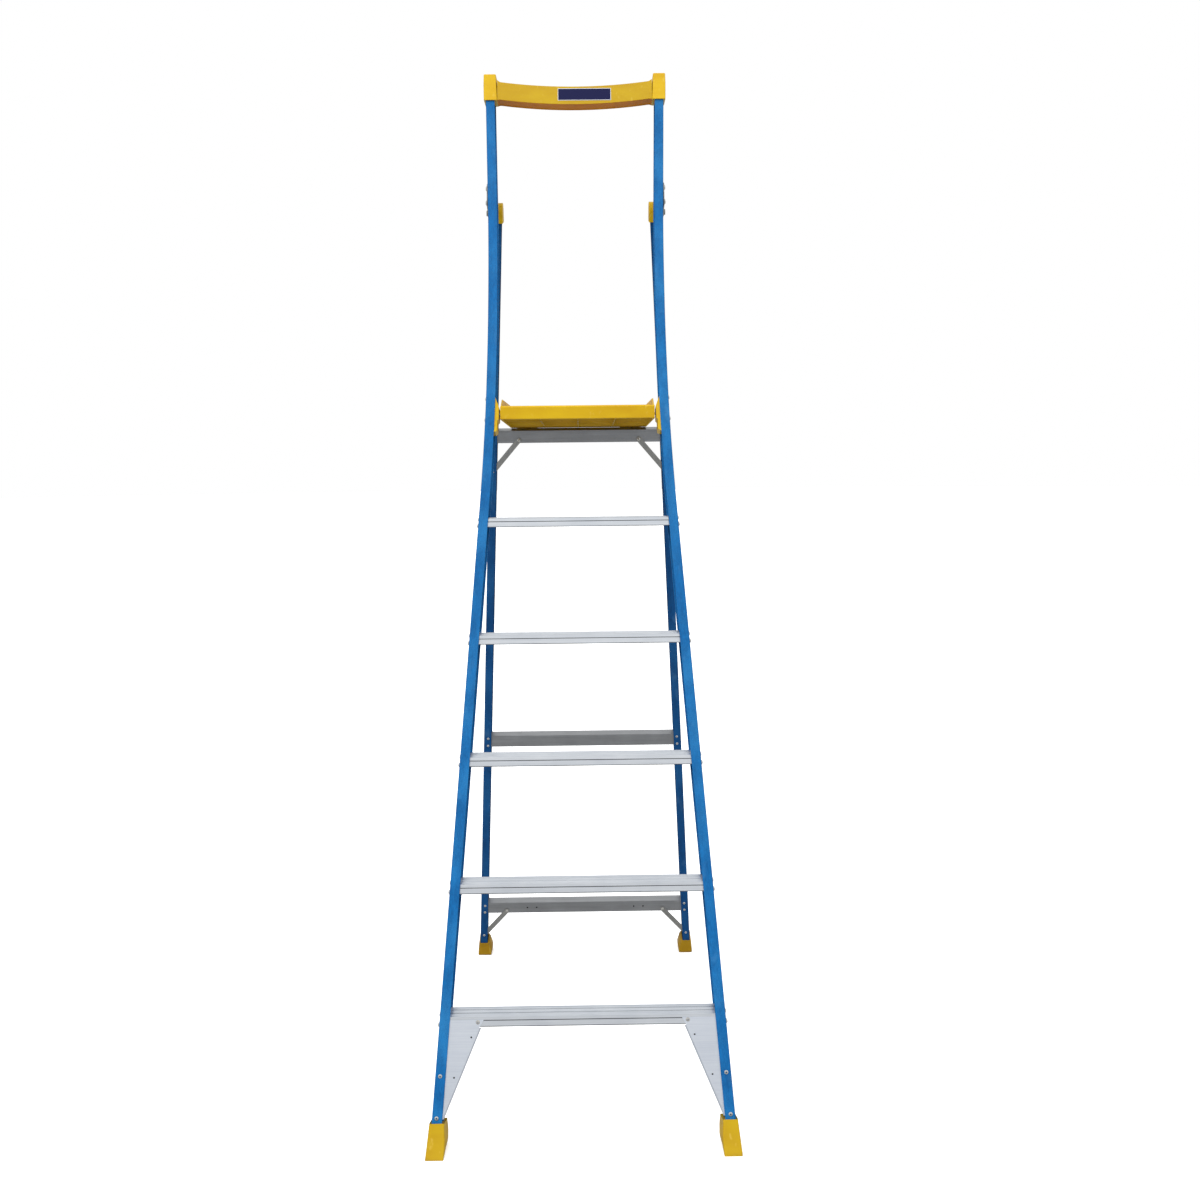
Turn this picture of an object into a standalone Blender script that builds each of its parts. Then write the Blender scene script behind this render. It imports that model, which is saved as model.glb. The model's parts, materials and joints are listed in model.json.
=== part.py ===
"""Platform step ladder: fibreglass front stiles with a handrail, five aluminium treads, a
hinged platform and a hinged rear frame. Metres, +Z up, the climber's side faces -Y and the
origin is on the floor under the middle of the footprint."""
import bpy
import bmesh
from math import atan, cos, pi, radians, sin, tan
from mathutils import Matrix, Vector

# ---------------------------------------------------------------- driving dimensions (metres)
GAP = 0.0003                 # between touching pieces

RISER = 0.290                # floor to tread, tread to tread, tread to platform
TREADS = 5
FRONT_SLOPE = 0.2837         # run over rise of the front frame
FRONT_HALF = 0.3578          # half width over the front stiles at the floor
FRONT_SPLAY = 0.0705         # loss of half width per metre of height
BOW_START = 1.45             # height where the stiles start to curve
BOW = ((1.45, 0.2556), (1.60, 0.2458), (1.75, 0.2391), (1.92, 0.2353), (2.05, 0.2345),
       (2.22, 0.2356), (2.40, 0.2399), (2.66, 0.2466))
STILE_DEPTH = 0.064
STILE_FLANGE = 0.0245
STILE_WALL = 0.003
STILE_TOP = 2.655
WEB_INSIDE = 0.0052          # outside of a stile to pieces that fit inside its channel

PIVOT_Z = 2.286              # rear frame hinge
PIVOT_DEPTH = 0.095          # behind the front plane
LEG_DEPTH = 0.050
LEG_FLANGE = 0.0228
LEG_WALL = 0.003
LEG_OVER_PIVOT = 0.009
REAR_REACH = 1.3006          # front face of the rear legs at the floor, from the front plane
REAR_HALF = 0.3412
REAR_SPLAY = 0.0497

FOOT_HEIGHT = 0.0728
REAR_FOOT_HEIGHT = 0.041
FOOT_FLARE = 0.006           # how far the soles run out at toe and heel

TREAD_TOP = 0.0051           # tread surface above its nominal level
TREAD_DROP = 0.0173          # nose bottom below its nominal level
TREAD_FRONT = 0.0052         # nose behind the front plane
TREAD_WALL = 0.002
TREAD_PADS = ((0.0050, 0.0149), (0.0245, 0.0149), (0.0440, 0.0089))   # distance back, width
TREAD_GUTTER = 0.0016        # depth of the gutters between the pads and under the bead
BEAD_LOW, BEAD_HIGH = -0.0042, -0.0026
BOSS_OUTER = 0.0044
BOSS_INNER = 0.0029
BOSS_FOOT, BOSS_SLIT = 35, 28    # half angles of a boss's foot and slit, in degrees
FRONT_BOSS_LEVEL = -0.0126
REAR_BOSS_BACK = 0.0300

GUSSET_SHEET = 0.0015
GUSSET_TOP, GUSSET_BOTTOM = 0.2885, 0.077
GUSSET_INNER = ((0.3275, 0.079), (0.2420, 0.2710), (0.2335, GUSSET_TOP))

# outer face, inner face and the bulge's foot, at the floor and at the top of the shoe
FRONT_FOOT_LOW, FRONT_FOOT_HIGH = (0.3657, 0.3232, 0.3215), (0.3577, 0.3281, 0.3205)
REAR_FOOT_LOW, REAR_FOOT_HIGH = (0.3464, 0.3060, 0.3030), (0.3430, 0.3136, 0.3075)
FOOT_WALL = 0.004            # shoe in front of and behind its stile
STILE_FOOT, LEG_FOOT = 0.0135, 0.0105    # cut ends above the floor
HINGE_PLATE_X = 0.2394       # inner face of the hinge plates
HINGE_PLATE_SHEET = 0.003

PLATFORM_TOP = 1.7451
PLATFORM_NOSE = 0.0361       # height of the front face
PLATFORM_FRONT = 0.4978      # front face, from the front plane's foot
PLATFORM_REAR = 0.9158
PLATFORM_HALF_FRONT = 0.2017
PLATFORM_HALF_REAR = 0.1950
PLATFORM_SEAT = 1.6953       # underside where it rests on the rear crossbar
PLATFORM_SEAT_Y = 0.8787
DECK_WALL = 0.004
DECK_WEB = 0.003
DECK_COLUMNS, DECK_ROWS = 4, 5
LEDGE_WIDTH, LEDGE_DROP = 0.0044, 0.0010  # step along each side that the rims stand on
RIM_HEIGHT = 0.019
RIM_SHEET = 0.003
RIM_REAR_HEIGHT = 0.011
CATCH_FROM, CATCH_TO = 0.120, 0.180       # the catches' ends, across the ladder
CATCH_LOW, CATCH_HIGH, CATCH_SHEET = 1.678, 1.740, 0.003
PIN_RADIUS, PIN_HEAD, PIN_END = 0.004, 0.0075, 0.2262
BRACKET_WEB = (1.678, 1.704, 1.731, 1.756, 1.780)
BRACKET_INNER = ((0.2185, 1.780), (0.2050, 1.744), (0.2050, 1.7118), (0.2088, 1.7075), (0.2092, 1.6825),
                 (0.2145, 1.678))
BRACKET_RIVETS = (("upper", 1.7640), ("lower", 1.7087))
RIVET_DEPTH = 0.030
HINGE_RIVET_DEPTH = 0.040
HINGE_RIVETS = (("upper", 2.346), ("lower", 2.305))
HINGE_Z = 1.722              # platform hinge
HINGE_DEPTH = 0.025

CROSSBAR_HEIGHT = 0.037
CROSSBAR_DEPTH = 0.032
CROSSBAR_SHEET = 0.002
CROSSBAR_SETBACK = 0.0054    # web behind the legs' front face
UPPER_BAR = -0.6128          # top edges, measured down the legs from the hinge
MIDDLE_BAR = -1.5783
LOWER_BAR = -2.1665
BRACE_WIDTH = 0.015
BRACES = (("upper", UPPER_BAR, 0.1735, -0.735), ("lower", LOWER_BAR, 0.2500, -2.282))
BRACE_ON_BAR, BRACE_ON_LEG = 0.0085, 0.0115     # rivet centres from the edges

RAIL_TOP = 2.6685            # handrail corner caps
RAIL_BOTTOM = 2.5925
RAIL_SAG = 0.016
RAIL_FLARE = 0.005
CORNER_RINGS = ((RAIL_BOTTOM, 0.2500, 0.2135), (2.640, 0.2512, 0.2158), (2.6635, 0.2510, 0.2168),
                (RAIL_TOP, 0.2480, 0.2200))     # height, outer and inner face
CORNER_WALL = 0.005
CORNER_CROWN = 0.004
BAR_HALF = 0.2131
BAR_BOTTOM, BAR_TOP = 2.5955, 2.6475
BAR_EDGE, BAR_CROWN = 0.002, 0.006
LABEL_LEFT, LABEL_RIGHT = -0.0465, 0.1000
LABEL_BOTTOM, LABEL_TOP = 2.5905, 2.6255

LEAN = atan(FRONT_SLOPE)
PIVOT_Y = PIVOT_Z * FRONT_SLOPE + PIVOT_DEPTH / cos(LEAN)
REAR_SLOPE = (REAR_REACH - PIVOT_Y + LEG_DEPTH / 2) / PIVOT_Z
REAR_LEAN = atan(REAR_SLOPE)
TOE_Y = -0.004 / cos(LEAN) - FOOT_FLARE
HEEL_Y = REAR_REACH + (LEG_DEPTH + 0.004) / cos(REAR_LEAN) + FOOT_FLARE
CENTRE_Y = (TOE_Y + HEEL_Y) / 2
HINGE_Y = HINGE_Z * FRONT_SLOPE + HINGE_DEPTH / cos(LEAN)
SIDES = (("left", -1), ("right", 1))

# ------------------------------------------------------------------------------ clean scene
for old in list(bpy.data.objects):
    bpy.data.objects.remove(old, do_unlink=True)

LADDER = bpy.data.collections.new("platform_step_ladder")
CUTTERS = bpy.data.collections.new("cutters")
bpy.context.scene.collection.children.link(LADDER)
bpy.context.scene.collection.children.link(CUTTERS)


def material(name, colour, roughness, metallic=0.0):
    made = bpy.data.materials.new(name)
    made.use_nodes = True
    shader = made.node_tree.nodes["Principled BSDF"]
    shader.inputs["Base Color"].default_value = (*colour, 1.0)
    shader.inputs["Roughness"].default_value = roughness
    shader.inputs["Metallic"].default_value = metallic
    return made


BLUE = material("blue_fibreglass", (0.02, 0.20, 0.48), 0.42)
YELLOW = material("yellow_moulding", (0.72, 0.46, 0.02), 0.45)
TREAD_ALLOY = material("bright_aluminium", (0.72, 0.75, 0.78), 0.28, 1.0)
DULL_ALLOY = material("mill_aluminium", (0.45, 0.45, 0.44), 0.42, 1.0)
ZINC = material("zinc_plated_steel", (0.55, 0.52, 0.46), 0.35, 1.0)
NAVY = material("navy_label", (0.02, 0.03, 0.12), 0.40)


# ------------------------------------------------------------------------------ the frames
def empty(name, parent, location, lean=0.0):
    made = bpy.data.objects.new(name, None)
    made.empty_display_size = 0.1
    made.parent = parent
    made.location = location
    made.rotation_euler = (lean, 0.0, 0.0)
    LADDER.objects.link(made)
    return made


BASE = empty("base_frame", None, (0, -CENTRE_Y, 0))
FRONT = empty("front_plane", BASE, (0, 0, 0), -LEAN)
REAR = empty("rear_hinge_axis", BASE, (0, PIVOT_Y, PIVOT_Z), REAR_LEAN)
PLATFORM = empty("platform_hinge_axis", BASE, (0, HINGE_Y, HINGE_Z))


def up_front(z, depth=0.0):
    """Distance up the front plane of a point at height z and the given depth behind it."""
    return (z + depth * sin(LEAN)) / cos(LEAN)


def behind_front(z, depth=0.0):
    """Level distance of that point from the foot of the front plane."""
    return z * tan(LEAN) + depth / cos(LEAN)


def up_rear(z, depth):
    """The same along the rear legs, measured from the hinge; depth 0 is the legs' middle."""
    return (z - PIVOT_Z - depth * sin(REAR_LEAN)) / cos(REAR_LEAN)


def bow_width(z):
    """Cubic through the knots of the bow, with each knot's slope from its neighbours."""
    last = len(BOW) - 2
    i = next((k for k in range(last) if z < BOW[k + 1][0]), last)

    def slope(k):
        if k == 0:
            return -FRONT_SPLAY
        low, high = BOW[k - 1], BOW[min(k + 1, len(BOW) - 1)]
        return (high[1] - low[1]) / (high[0] - low[0])

    span = BOW[i + 1][0] - BOW[i][0]
    t = (z - BOW[i][0]) / span
    start, end = BOW[i][1], BOW[i + 1][1]
    return (start * (2 * t**3 - 3 * t**2 + 1) + end * (3 * t**2 - 2 * t**3)
            + slope(i) * span * (t**3 - 2 * t**2 + t) + slope(i + 1) * span * (t**3 - t**2))


def front_half(z):
    """Half width over the outside of the front stiles at height z."""
    return FRONT_HALF - FRONT_SPLAY * z if z <= BOW_START else bow_width(z)


def rear_half(z):
    return REAR_HALF - REAR_SPLAY * z


# ------------------------------------------------------------------------------- modelling
def node(name, bm, look, parent, side=1):
    """Object from a bmesh drawn for the +X side; side -1 mirrors it across the ladder."""
    if side < 0:
        bmesh.ops.scale(bm, verts=bm.verts, vec=(-1, 1, 1))
    bmesh.ops.recalc_face_normals(bm, faces=bm.faces)
    mesh = bpy.data.meshes.new(name)
    bm.to_mesh(mesh)
    bm.free()
    mesh.materials.append(look)
    made = bpy.data.objects.new(name, mesh)
    made.parent = parent
    LADDER.objects.link(made)
    return made


def cutter(name, bm, parent, side=1):
    made = node(name, bm, ZINC, parent, side)
    LADDER.objects.unlink(made)
    CUTTERS.objects.link(made)
    made.hide_render = True
    made.display_type = "WIRE"
    return made


def cut(target, tool):
    step = target.modifiers.new(tool.name, "BOOLEAN")
    step.operation = "DIFFERENCE"
    step.solver = "EXACT"
    step.object = tool


def rounded(target):
    target.data.shade_smooth()
    target.data.set_sharp_from_angle(angle=radians(35))
    return target


def prism(bm, outline, low, high, axis="x"):
    """Flat outline swept along one axis; the outline's two values are the other two axes."""
    def at(t, a, b):
        return {"x": (t, a, b), "y": (a, t, b), "z": (a, b, t)}[axis]
    face = bm.faces.new([bm.verts.new(at(low, a, b)) for a, b in outline])
    grown = bmesh.ops.extrude_face_region(bm, geom=[face])["geom"]
    moved = [v for v in grown if isinstance(v, bmesh.types.BMVert)]
    bmesh.ops.translate(bm, verts=moved, vec=at(high - low, 0, 0))
    return bm


def block(bm, low, high):
    outline = [(low[1], low[2]), (high[1], low[2]), (high[1], high[2]), (low[1], high[2])]
    return prism(bm, outline, low[0], high[0])


def loft(bm, rings):
    """Closed skin through rings that have the same number of points."""
    rows = [[bm.verts.new(p) for p in ring] for ring in rings]
    count = len(rows[0])
    for lower, upper in zip(rows, rows[1:]):
        for k in range(count):
            j = (k + 1) % count
            bm.faces.new((lower[k], lower[j], upper[j], upper[k]))
    bm.faces.new(reversed(rows[0]))
    bm.faces.new(rows[-1])
    return bm


def lathe(bm, profile, place, steps):
    """Turn a profile of (radius, height) about the Z axis of the given place."""
    chain = [bm.verts.new((r, 0, h)) for r, h in profile]
    edges = [bm.edges.new(pair) for pair in zip(chain, chain[1:])]
    before = set(bm.verts) - set(chain)
    bmesh.ops.spin(bm, geom=chain + edges, cent=(0, 0, 0), axis=(0, 0, 1), dvec=(0, 0, 0),
                   angle=2 * pi, steps=steps, use_merge=False, use_duplicate=False)
    turned = [v for v in bm.verts if v not in before]
    bmesh.ops.remove_doubles(bm, verts=turned, dist=1e-6)
    turned = [v for v in bm.verts if v not in before]
    bmesh.ops.transform(bm, matrix=place, verts=turned)


def arc(centre, radius, start, end, steps):
    """Points from angle start to angle end, in degrees, both included."""
    angles = [radians(start + (end - start) * k / steps) for k in range(steps + 1)]
    return [(centre[0] + radius * cos(a), centre[1] + radius * sin(a)) for a in angles]


def channel_outline(depth, flange, wall, corner):
    """C section: (distance inward from the outside of the web, depth behind the front)."""
    inner = corner - wall / 2
    return ([(flange, 0.0)] + arc((corner, corner), corner, 270, 180, 2)
            + arc((corner, depth - corner), corner, 180, 90, 2) + [(flange, depth)]
            + [(flange, depth - wall)] + arc((wall + inner, depth - wall - inner), inner, 90, 180, 1)
            + arc((wall + inner, wall + inner), inner, 180, 270, 1) + [(flange, wall)])


def sweep(bm, outline, path, tilt, start_depth=0.0, level=True):
    """Sweep a section up a stile. The path holds (outer half width, distance up the plane); the
    ends are cut level with the floor, which tilt gives as rise per depth."""
    rings = []
    for i, (x, s) in enumerate(path):
        below, above = path[max(i - 1, 0)], path[min(i + 1, len(path) - 1)]
        run = Vector((above[0] - below[0], above[1] - below[1])).normalized()
        at_end = level and i in (0, len(path) - 1)
        rings.append([(x - u * run.y, start_depth + d,
                       s + u * run.x + ((start_depth + d) * tilt if at_end else 0.0))
                      for u, d in outline])
    return loft(bm, rings)


def fastener(name, parent, point, outward, profile, steps, through=(), clearance=GAP):
    """Turned fastener with its axis outwards from a point, and its hole through its neighbours."""
    place = (Matrix.Translation(point) @ Vector(outward).to_track_quat("Z", "Y").to_matrix().to_4x4())
    bm = bmesh.new()
    lathe(bm, profile, place, steps)
    if through:
        shank, tip = profile[-2][0] + clearance, profile[-1][1] - 0.001
        hole = bmesh.new()
        lathe(hole, [(0, 0.004), (shank, 0.004), (shank, tip), (0, tip)], place, steps)
        drill = cutter(name + "_hole", hole, parent)
        for target in through:
            cut(target, drill)
    return rounded(node(name, bm, ZINC, parent))


def rivet(length, head, shank, crown):
    return [(0, crown), (head * 0.65, crown * 0.8), (head, 0), (shank, 0), (shank, -length),
            (0, -length)]


def ring(inner, outer, length):
    return [(inner, 0), (outer, 0), (outer, -length), (inner, -length), (inner, 0)]


# --------------------------------------------------------------------------- front frame
def stile_path():
    heights = [STILE_FOOT, 0.75, BOW_START]
    steps = 12
    heights += [BOW_START + (STILE_TOP - BOW_START) * (k + 1) / steps for k in range(steps)]
    return [(front_half(z), up_front(z)) for z in heights]


def front_stile(side_name, side):
    """Pultruded channel, web outside, bowed above the platform."""
    outline = channel_outline(STILE_DEPTH, STILE_FLANGE, STILE_WALL, 0.0032)
    bm = sweep(bmesh.new(), outline, stile_path(), tan(LEAN))
    return rounded(node("front_stile_" + side_name, bm, BLUE, FRONT, side))


def stile_pocket(name, side):
    """Solid the size of the stile and its clearance, to hollow the caps that go over it."""
    outline = [(-GAP, 0), (-GAP, STILE_DEPTH + 2 * GAP), (STILE_FLANGE + GAP, STILE_DEPTH + 2 * GAP),
               (STILE_FLANGE + GAP, 0)]
    path = stile_path()
    path[0] = (path[0][0], path[0][1] - GAP)
    path[-1] = (path[-1][0], path[-1][1] + GAP)
    return cutter(name, sweep(bmesh.new(), outline, path, tan(LEAN), -GAP), FRONT, side)


def tread_outline():
    """Extruded section: (level distance, height), nose at the left, screw bosses inside."""
    slope = tan(LEAN)
    depth = (STILE_DEPTH - STILE_WALL - GAP - TREAD_FRONT) / cos(LEAN)
    top = TREAD_TOP - TREAD_GUTTER

    def nose(z, back=0.0):
        return (z * slope + back, z)

    outer = [nose(-TREAD_DROP), nose(BEAD_LOW), nose(BEAD_LOW, TREAD_GUTTER),
             nose(BEAD_HIGH, TREAD_GUTTER), nose(BEAD_HIGH), nose(top), nose(TREAD_TOP, 0.0010),
             nose(TREAD_TOP, 0.0024), nose(top, 0.0030)]
    for back, width in TREAD_PADS:
        start = TREAD_TOP * slope + back
        outer += [(start, top), (start + 0.0004, TREAD_TOP), (start + width - 0.0004, TREAD_TOP),
                  (start + width, top)]
    rear_top = (TREAD_TOP * slope + depth, TREAD_TOP)
    rear_low = (-TREAD_DROP * slope + depth, -TREAD_DROP)
    outer += [(rear_top[0] - 0.0030, top), (rear_top[0] - 0.0026, TREAD_TOP)]
    under = top - TREAD_WALL
    rear_inner = [(rear_low[0] - TREAD_WALL, rear_low[1]), (under * slope + depth - TREAD_WALL, under)]
    seat = BOSS_OUTER * cos(radians(BOSS_FOOT))
    rear_boss = boss((REAR_BOSS_BACK, under - seat), 90)
    front_boss = boss((TREAD_WALL + seat + FRONT_BOSS_LEVEL * slope, FRONT_BOSS_LEVEL), 180)
    nose_inner = [nose(under, TREAD_WALL)]
    return (outer + [rear_top, rear_low] + rear_inner + rear_boss + nose_inner + front_boss
            + [nose(-TREAD_DROP, TREAD_WALL)])


def boss(centre, towards_wall):
    """C-shaped screw boss standing on a wall; its slit faces away from that wall."""
    a, slit = towards_wall, BOSS_SLIT
    return (arc(centre, BOSS_OUTER, a - BOSS_FOOT, a - 180 + slit, 3)
            + arc(centre, BOSS_INNER, a - 180 + slit, a + 180 - slit, 7)
            + arc(centre, BOSS_OUTER, a + 180 - slit, a + BOSS_FOOT, 3))


def tread(i):
    level = i * RISER
    half = front_half(level + TREAD_TOP + STILE_DEPTH * sin(LEAN)) - WEB_INSIDE
    origin = behind_front(level, TREAD_FRONT)
    outline = [(origin + y, level + z) for y, z in tread_outline()]
    return node(f"tread_{i}", prism(bmesh.new(), outline, -half, half), TREAD_ALLOY, BASE)


def gusset(side_name, side):
    """Sheet brace behind the front flange, from the first tread's nose down to the foot."""
    outer = [(front_half(z) - WEB_INSIDE, z) for z in (GUSSET_TOP, GUSSET_BOTTOM)]
    near = STILE_WALL + GAP
    outline = [(x, up_front(z, near)) for x, z in outer + list(GUSSET_INNER)]
    bm = prism(bmesh.new(), outline, near, near + GUSSET_SHEET, "y")
    return node("gusset_" + side_name, bm, TREAD_ALLOY, FRONT, side)


def foot(side_name, side, rear):
    """Moulded shoe: flared sole, flat outer side and a rounded bulge on the inner side."""
    if rear:
        low, high = REAR_FOOT_LOW, REAR_FOOT_HIGH
        bulge, height, tilt, lean = 0.0040, REAR_FOOT_HEIGHT, sin(REAR_LEAN), -REAR_SLOPE
        far, start, cosine = LEG_DEPTH + FOOT_WALL, REAR_REACH, cos(REAR_LEAN)
    else:
        low, high = FRONT_FOOT_LOW, FRONT_FOOT_HIGH
        bulge, height, tilt, lean = 0.0060, FOOT_HEIGHT, -sin(LEAN), FRONT_SLOPE
        far, start, cosine = STILE_DEPTH + FOOT_WALL, 0.0, cos(LEAN)
    rings = []
    for t in (0.0, 0.04, 0.3, 0.5, 0.68, 0.85, 1.0):
        outer, inner, belly = [a + (b - a) * t for a, b in zip(low, high)]
        belly -= bulge * sin(pi * t) ** 2
        flare = FOOT_FLARE * (1 - t) ** 2
        ring = []
        for x, part in ((outer, 0.0), (inner, 0.0), (belly, 0.22), (belly, 0.78), (inner, 1.0),
                        (outer, 1.0)):
            depth = -FOOT_WALL + (far + FOOT_WALL) * part
            z = t * (height + depth * tilt)
            y = start + depth / cosine + lean * z + flare * (2 * part - 1)
            ring.append((x, y, z))
        rings.append(ring)
    name = ("rear_foot_" if rear else "front_foot_") + side_name
    return node(name, loft(bmesh.new(), rings), YELLOW, BASE, side)


def handrail_corner(side_name, side):
    """Cap over the top of the stile; its lower edge is level."""
    near, far = -CORNER_WALL, STILE_DEPTH + CORNER_WALL
    rings = []
    for z, outer, inner in CORNER_RINGS:
        crown = CORNER_CROWN if z == RAIL_TOP else 0.0
        rings.append([(outer, near + crown, up_front(z, near + crown)),
                      (inner, near + crown, up_front(z, near + crown)),
                      (inner, far - crown, up_front(z, far - crown)),
                      (outer, far - crown, up_front(z, far - crown))])
    made = node("handrail_corner_" + side_name, loft(bmesh.new(), rings), YELLOW, FRONT, side)
    cut(made, stile_pocket("corner_pocket_" + side_name, side))
    return made


def handrail_bar():
    """Moulded rail between the corner caps; it sags towards the middle and flares at the ends."""
    steps = 16
    near, far = 0.0005, STILE_DEPTH + 0.002
    rings = []
    for k in range(steps + 1):
        x = -BAR_HALF + 2 * BAR_HALF * k / steps
        sag = RAIL_SAG * (1 - (x / BAR_HALF) ** 2)
        flare = RAIL_FLARE * max(0.0, abs(x) / BAR_HALF - 0.90) / 0.10
        bottom, top = BAR_BOTTOM - sag, BAR_TOP - sag + flare
        ring = []
        for depth, z in ((near + BAR_EDGE, bottom), (far - BAR_EDGE, bottom),
                         (far, bottom + BAR_EDGE), (far, top - BAR_CROWN), (far - BAR_CROWN, top),
                         (near + BAR_CROWN, top), (near, top - BAR_CROWN), (near, bottom + BAR_EDGE)):
            ring.append((x, depth, up_front(z, depth)))
        rings.append(ring)
    return node("handrail_bar", loft(bmesh.new(), rings), YELLOW, FRONT)


def label_plate():
    """Plain plate on the front of the handrail."""
    low, high = up_front(LABEL_BOTTOM), up_front(LABEL_TOP)
    bm = block(bmesh.new(), (LABEL_LEFT, -0.0010, low), (LABEL_RIGHT, 0.0005 - GAP, high))
    return node("label_plate", bm, NAVY, FRONT)


def platform_bracket(side_name, side):
    """Hinge block inside the stile's channel, standing out past its flanges."""
    near, far = STILE_WALL + 0.0004, STILE_DEPTH - STILE_WALL - 0.0004
    web = [(front_half(z) - WEB_INSIDE, z) for z in BRACKET_WEB]
    outline = [(x, z / cos(LEAN)) for x, z in web + list(BRACKET_INNER)]
    bm = prism(bmesh.new(), outline, near, far, "y")
    for vert in bm.verts:
        vert.co.z += vert.co.y * tan(LEAN) * 0.35
    return node("platform_bracket_" + side_name, bm, YELLOW, FRONT, side)


def hinge_plate(side_name, side, pins):
    """Steel plate outside the stile that carries the rear frame's hinge bolt."""
    rims = [(*pins[0], 0.015), (*pins[1], 0.013), (*pins[2], 0.013)]
    bm = bmesh.new()
    points = []
    for depth, s, radius in rims:
        for a, b in arc((depth, s), radius, 0, 345, 23):
            for x in (HINGE_PLATE_X, HINGE_PLATE_X + HINGE_PLATE_SHEET):
                points.append(bm.verts.new((x, a, b)))
    hull = bmesh.ops.convex_hull(bm, input=points)
    left_over = hull["geom_interior"] + hull["geom_unused"]
    spare = {v for v in left_over if isinstance(v, bmesh.types.BMVert)}
    bmesh.ops.delete(bm, geom=list(spare), context="VERTS")
    bmesh.ops.dissolve_limit(bm, angle_limit=radians(0.5), verts=bm.verts, edges=bm.edges)
    return node("hinge_plate_" + side_name, bm, ZINC, FRONT, side)


# ----------------------------------------------------------------------------- rear frame
def rear_leg(side_name, side):
    outline = channel_outline(LEG_DEPTH, LEG_FLANGE, LEG_WALL, 0.0032)
    low = up_rear(LEG_FOOT, 0.0)
    path = [(rear_half(LEG_FOOT), low), (rear_half(PIVOT_Z), LEG_OVER_PIVOT)]
    bm = sweep(bmesh.new(), outline, path, -tan(REAR_LEAN), -LEG_DEPTH / 2, level=False)
    for vert in bm.verts:
        if vert.co.z < low / 2:
            vert.co.z -= vert.co.y * tan(REAR_LEAN)
    return rounded(node("rear_leg_" + side_name, bm, BLUE, REAR, side))


def leg_pocket(name, side):
    """Solid the size of a rear leg and its clearance, open on the outer side at the top."""
    half = LEG_DEPTH / 2 + GAP
    bm = bmesh.new()
    low = up_rear(LEG_FOOT, 0.0) - GAP
    outline = [(-GAP, -half), (-GAP, half), (LEG_FLANGE + GAP, half), (LEG_FLANGE + GAP, -half)]
    path = [(rear_half(LEG_FOOT), low), (rear_half(PIVOT_Z), -0.2)]
    sweep(bm, outline, path, 0.0, level=False)
    for vert in bm.verts:
        if vert.co.z < low / 2:
            vert.co.z -= vert.co.y * tan(REAR_LEAN)
    return cutter(name, bm, REAR, side)


def rear_cap(side_name, side):
    """Round-topped cap over the end of the leg, open towards the hinge plate."""
    radius, raise_ = LEG_DEPTH / 2 + 0.0023, 0.001
    outer = rear_half(PIVOT_Z) + 0.0006
    inner = rear_half(PIVOT_Z) - LEG_FLANGE
    outline = arc((0, raise_), radius, 0, 180, 12) + [(-radius, -0.026), (radius, -0.026)]
    made = node("rear_cap_" + side_name, prism(bmesh.new(), outline, inner - 0.0031, outer), YELLOW,
                REAR, side)
    half = LEG_DEPTH / 2 + GAP
    low, high = (inner - 0.0012, -half, -0.060), (outer + 0.01, half, LEG_OVER_PIVOT + GAP)
    room = block(bmesh.new(), low, high)
    cut(made, cutter("cap_pocket_" + side_name, room, REAR, side))
    return made


def crossbar(name, top):
    """Folded channel whose flanges point backwards, with its ends inside the legs."""
    near = CROSSBAR_SETBACK - LEG_DEPTH / 2
    far, wall = near + CROSSBAR_DEPTH, CROSSBAR_SHEET
    low = top - CROSSBAR_HEIGHT
    outline = [(near, low), (near, top), (far, top), (far, top - wall), (near + wall, top - wall),
               (near + wall, low + wall), (far, low + wall), (far, low)]
    half = rear_half(PIVOT_Z + top * cos(REAR_LEAN)) - LEG_WALL - 0.0012
    return node(name, prism(bmesh.new(), outline, -half, half), DULL_ALLOY, REAR)


def brace(name, side, upper, lower):
    """Flat bar with round ends between a crossbar and a leg."""
    a, b = Vector(upper), Vector(lower)
    run = (b - a).normalized()
    turn = Matrix(((run.x, -run.y), (run.y, run.x)))
    radius, length = BRACE_WIDTH / 2, (b - a).length
    shape = arc((0, 0), radius, 90, 270, 6) + arc((length, 0), radius, 270, 450, 6)
    outline = [tuple(a + turn @ Vector(p)) for p in shape]
    near = LEG_WALL + 0.0002 - LEG_DEPTH / 2
    bm = prism(bmesh.new(), outline, near, CROSSBAR_SETBACK - LEG_DEPTH / 2 - 0.0002, "y")
    return node(name, bm, DULL_ALLOY, REAR, side)


# ------------------------------------------------------------------------------- platform
def platform_half(y):
    t = (y - PLATFORM_FRONT) / (PLATFORM_REAR - PLATFORM_FRONT)
    return PLATFORM_HALF_FRONT + (PLATFORM_HALF_REAR - PLATFORM_HALF_FRONT) * t


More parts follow.
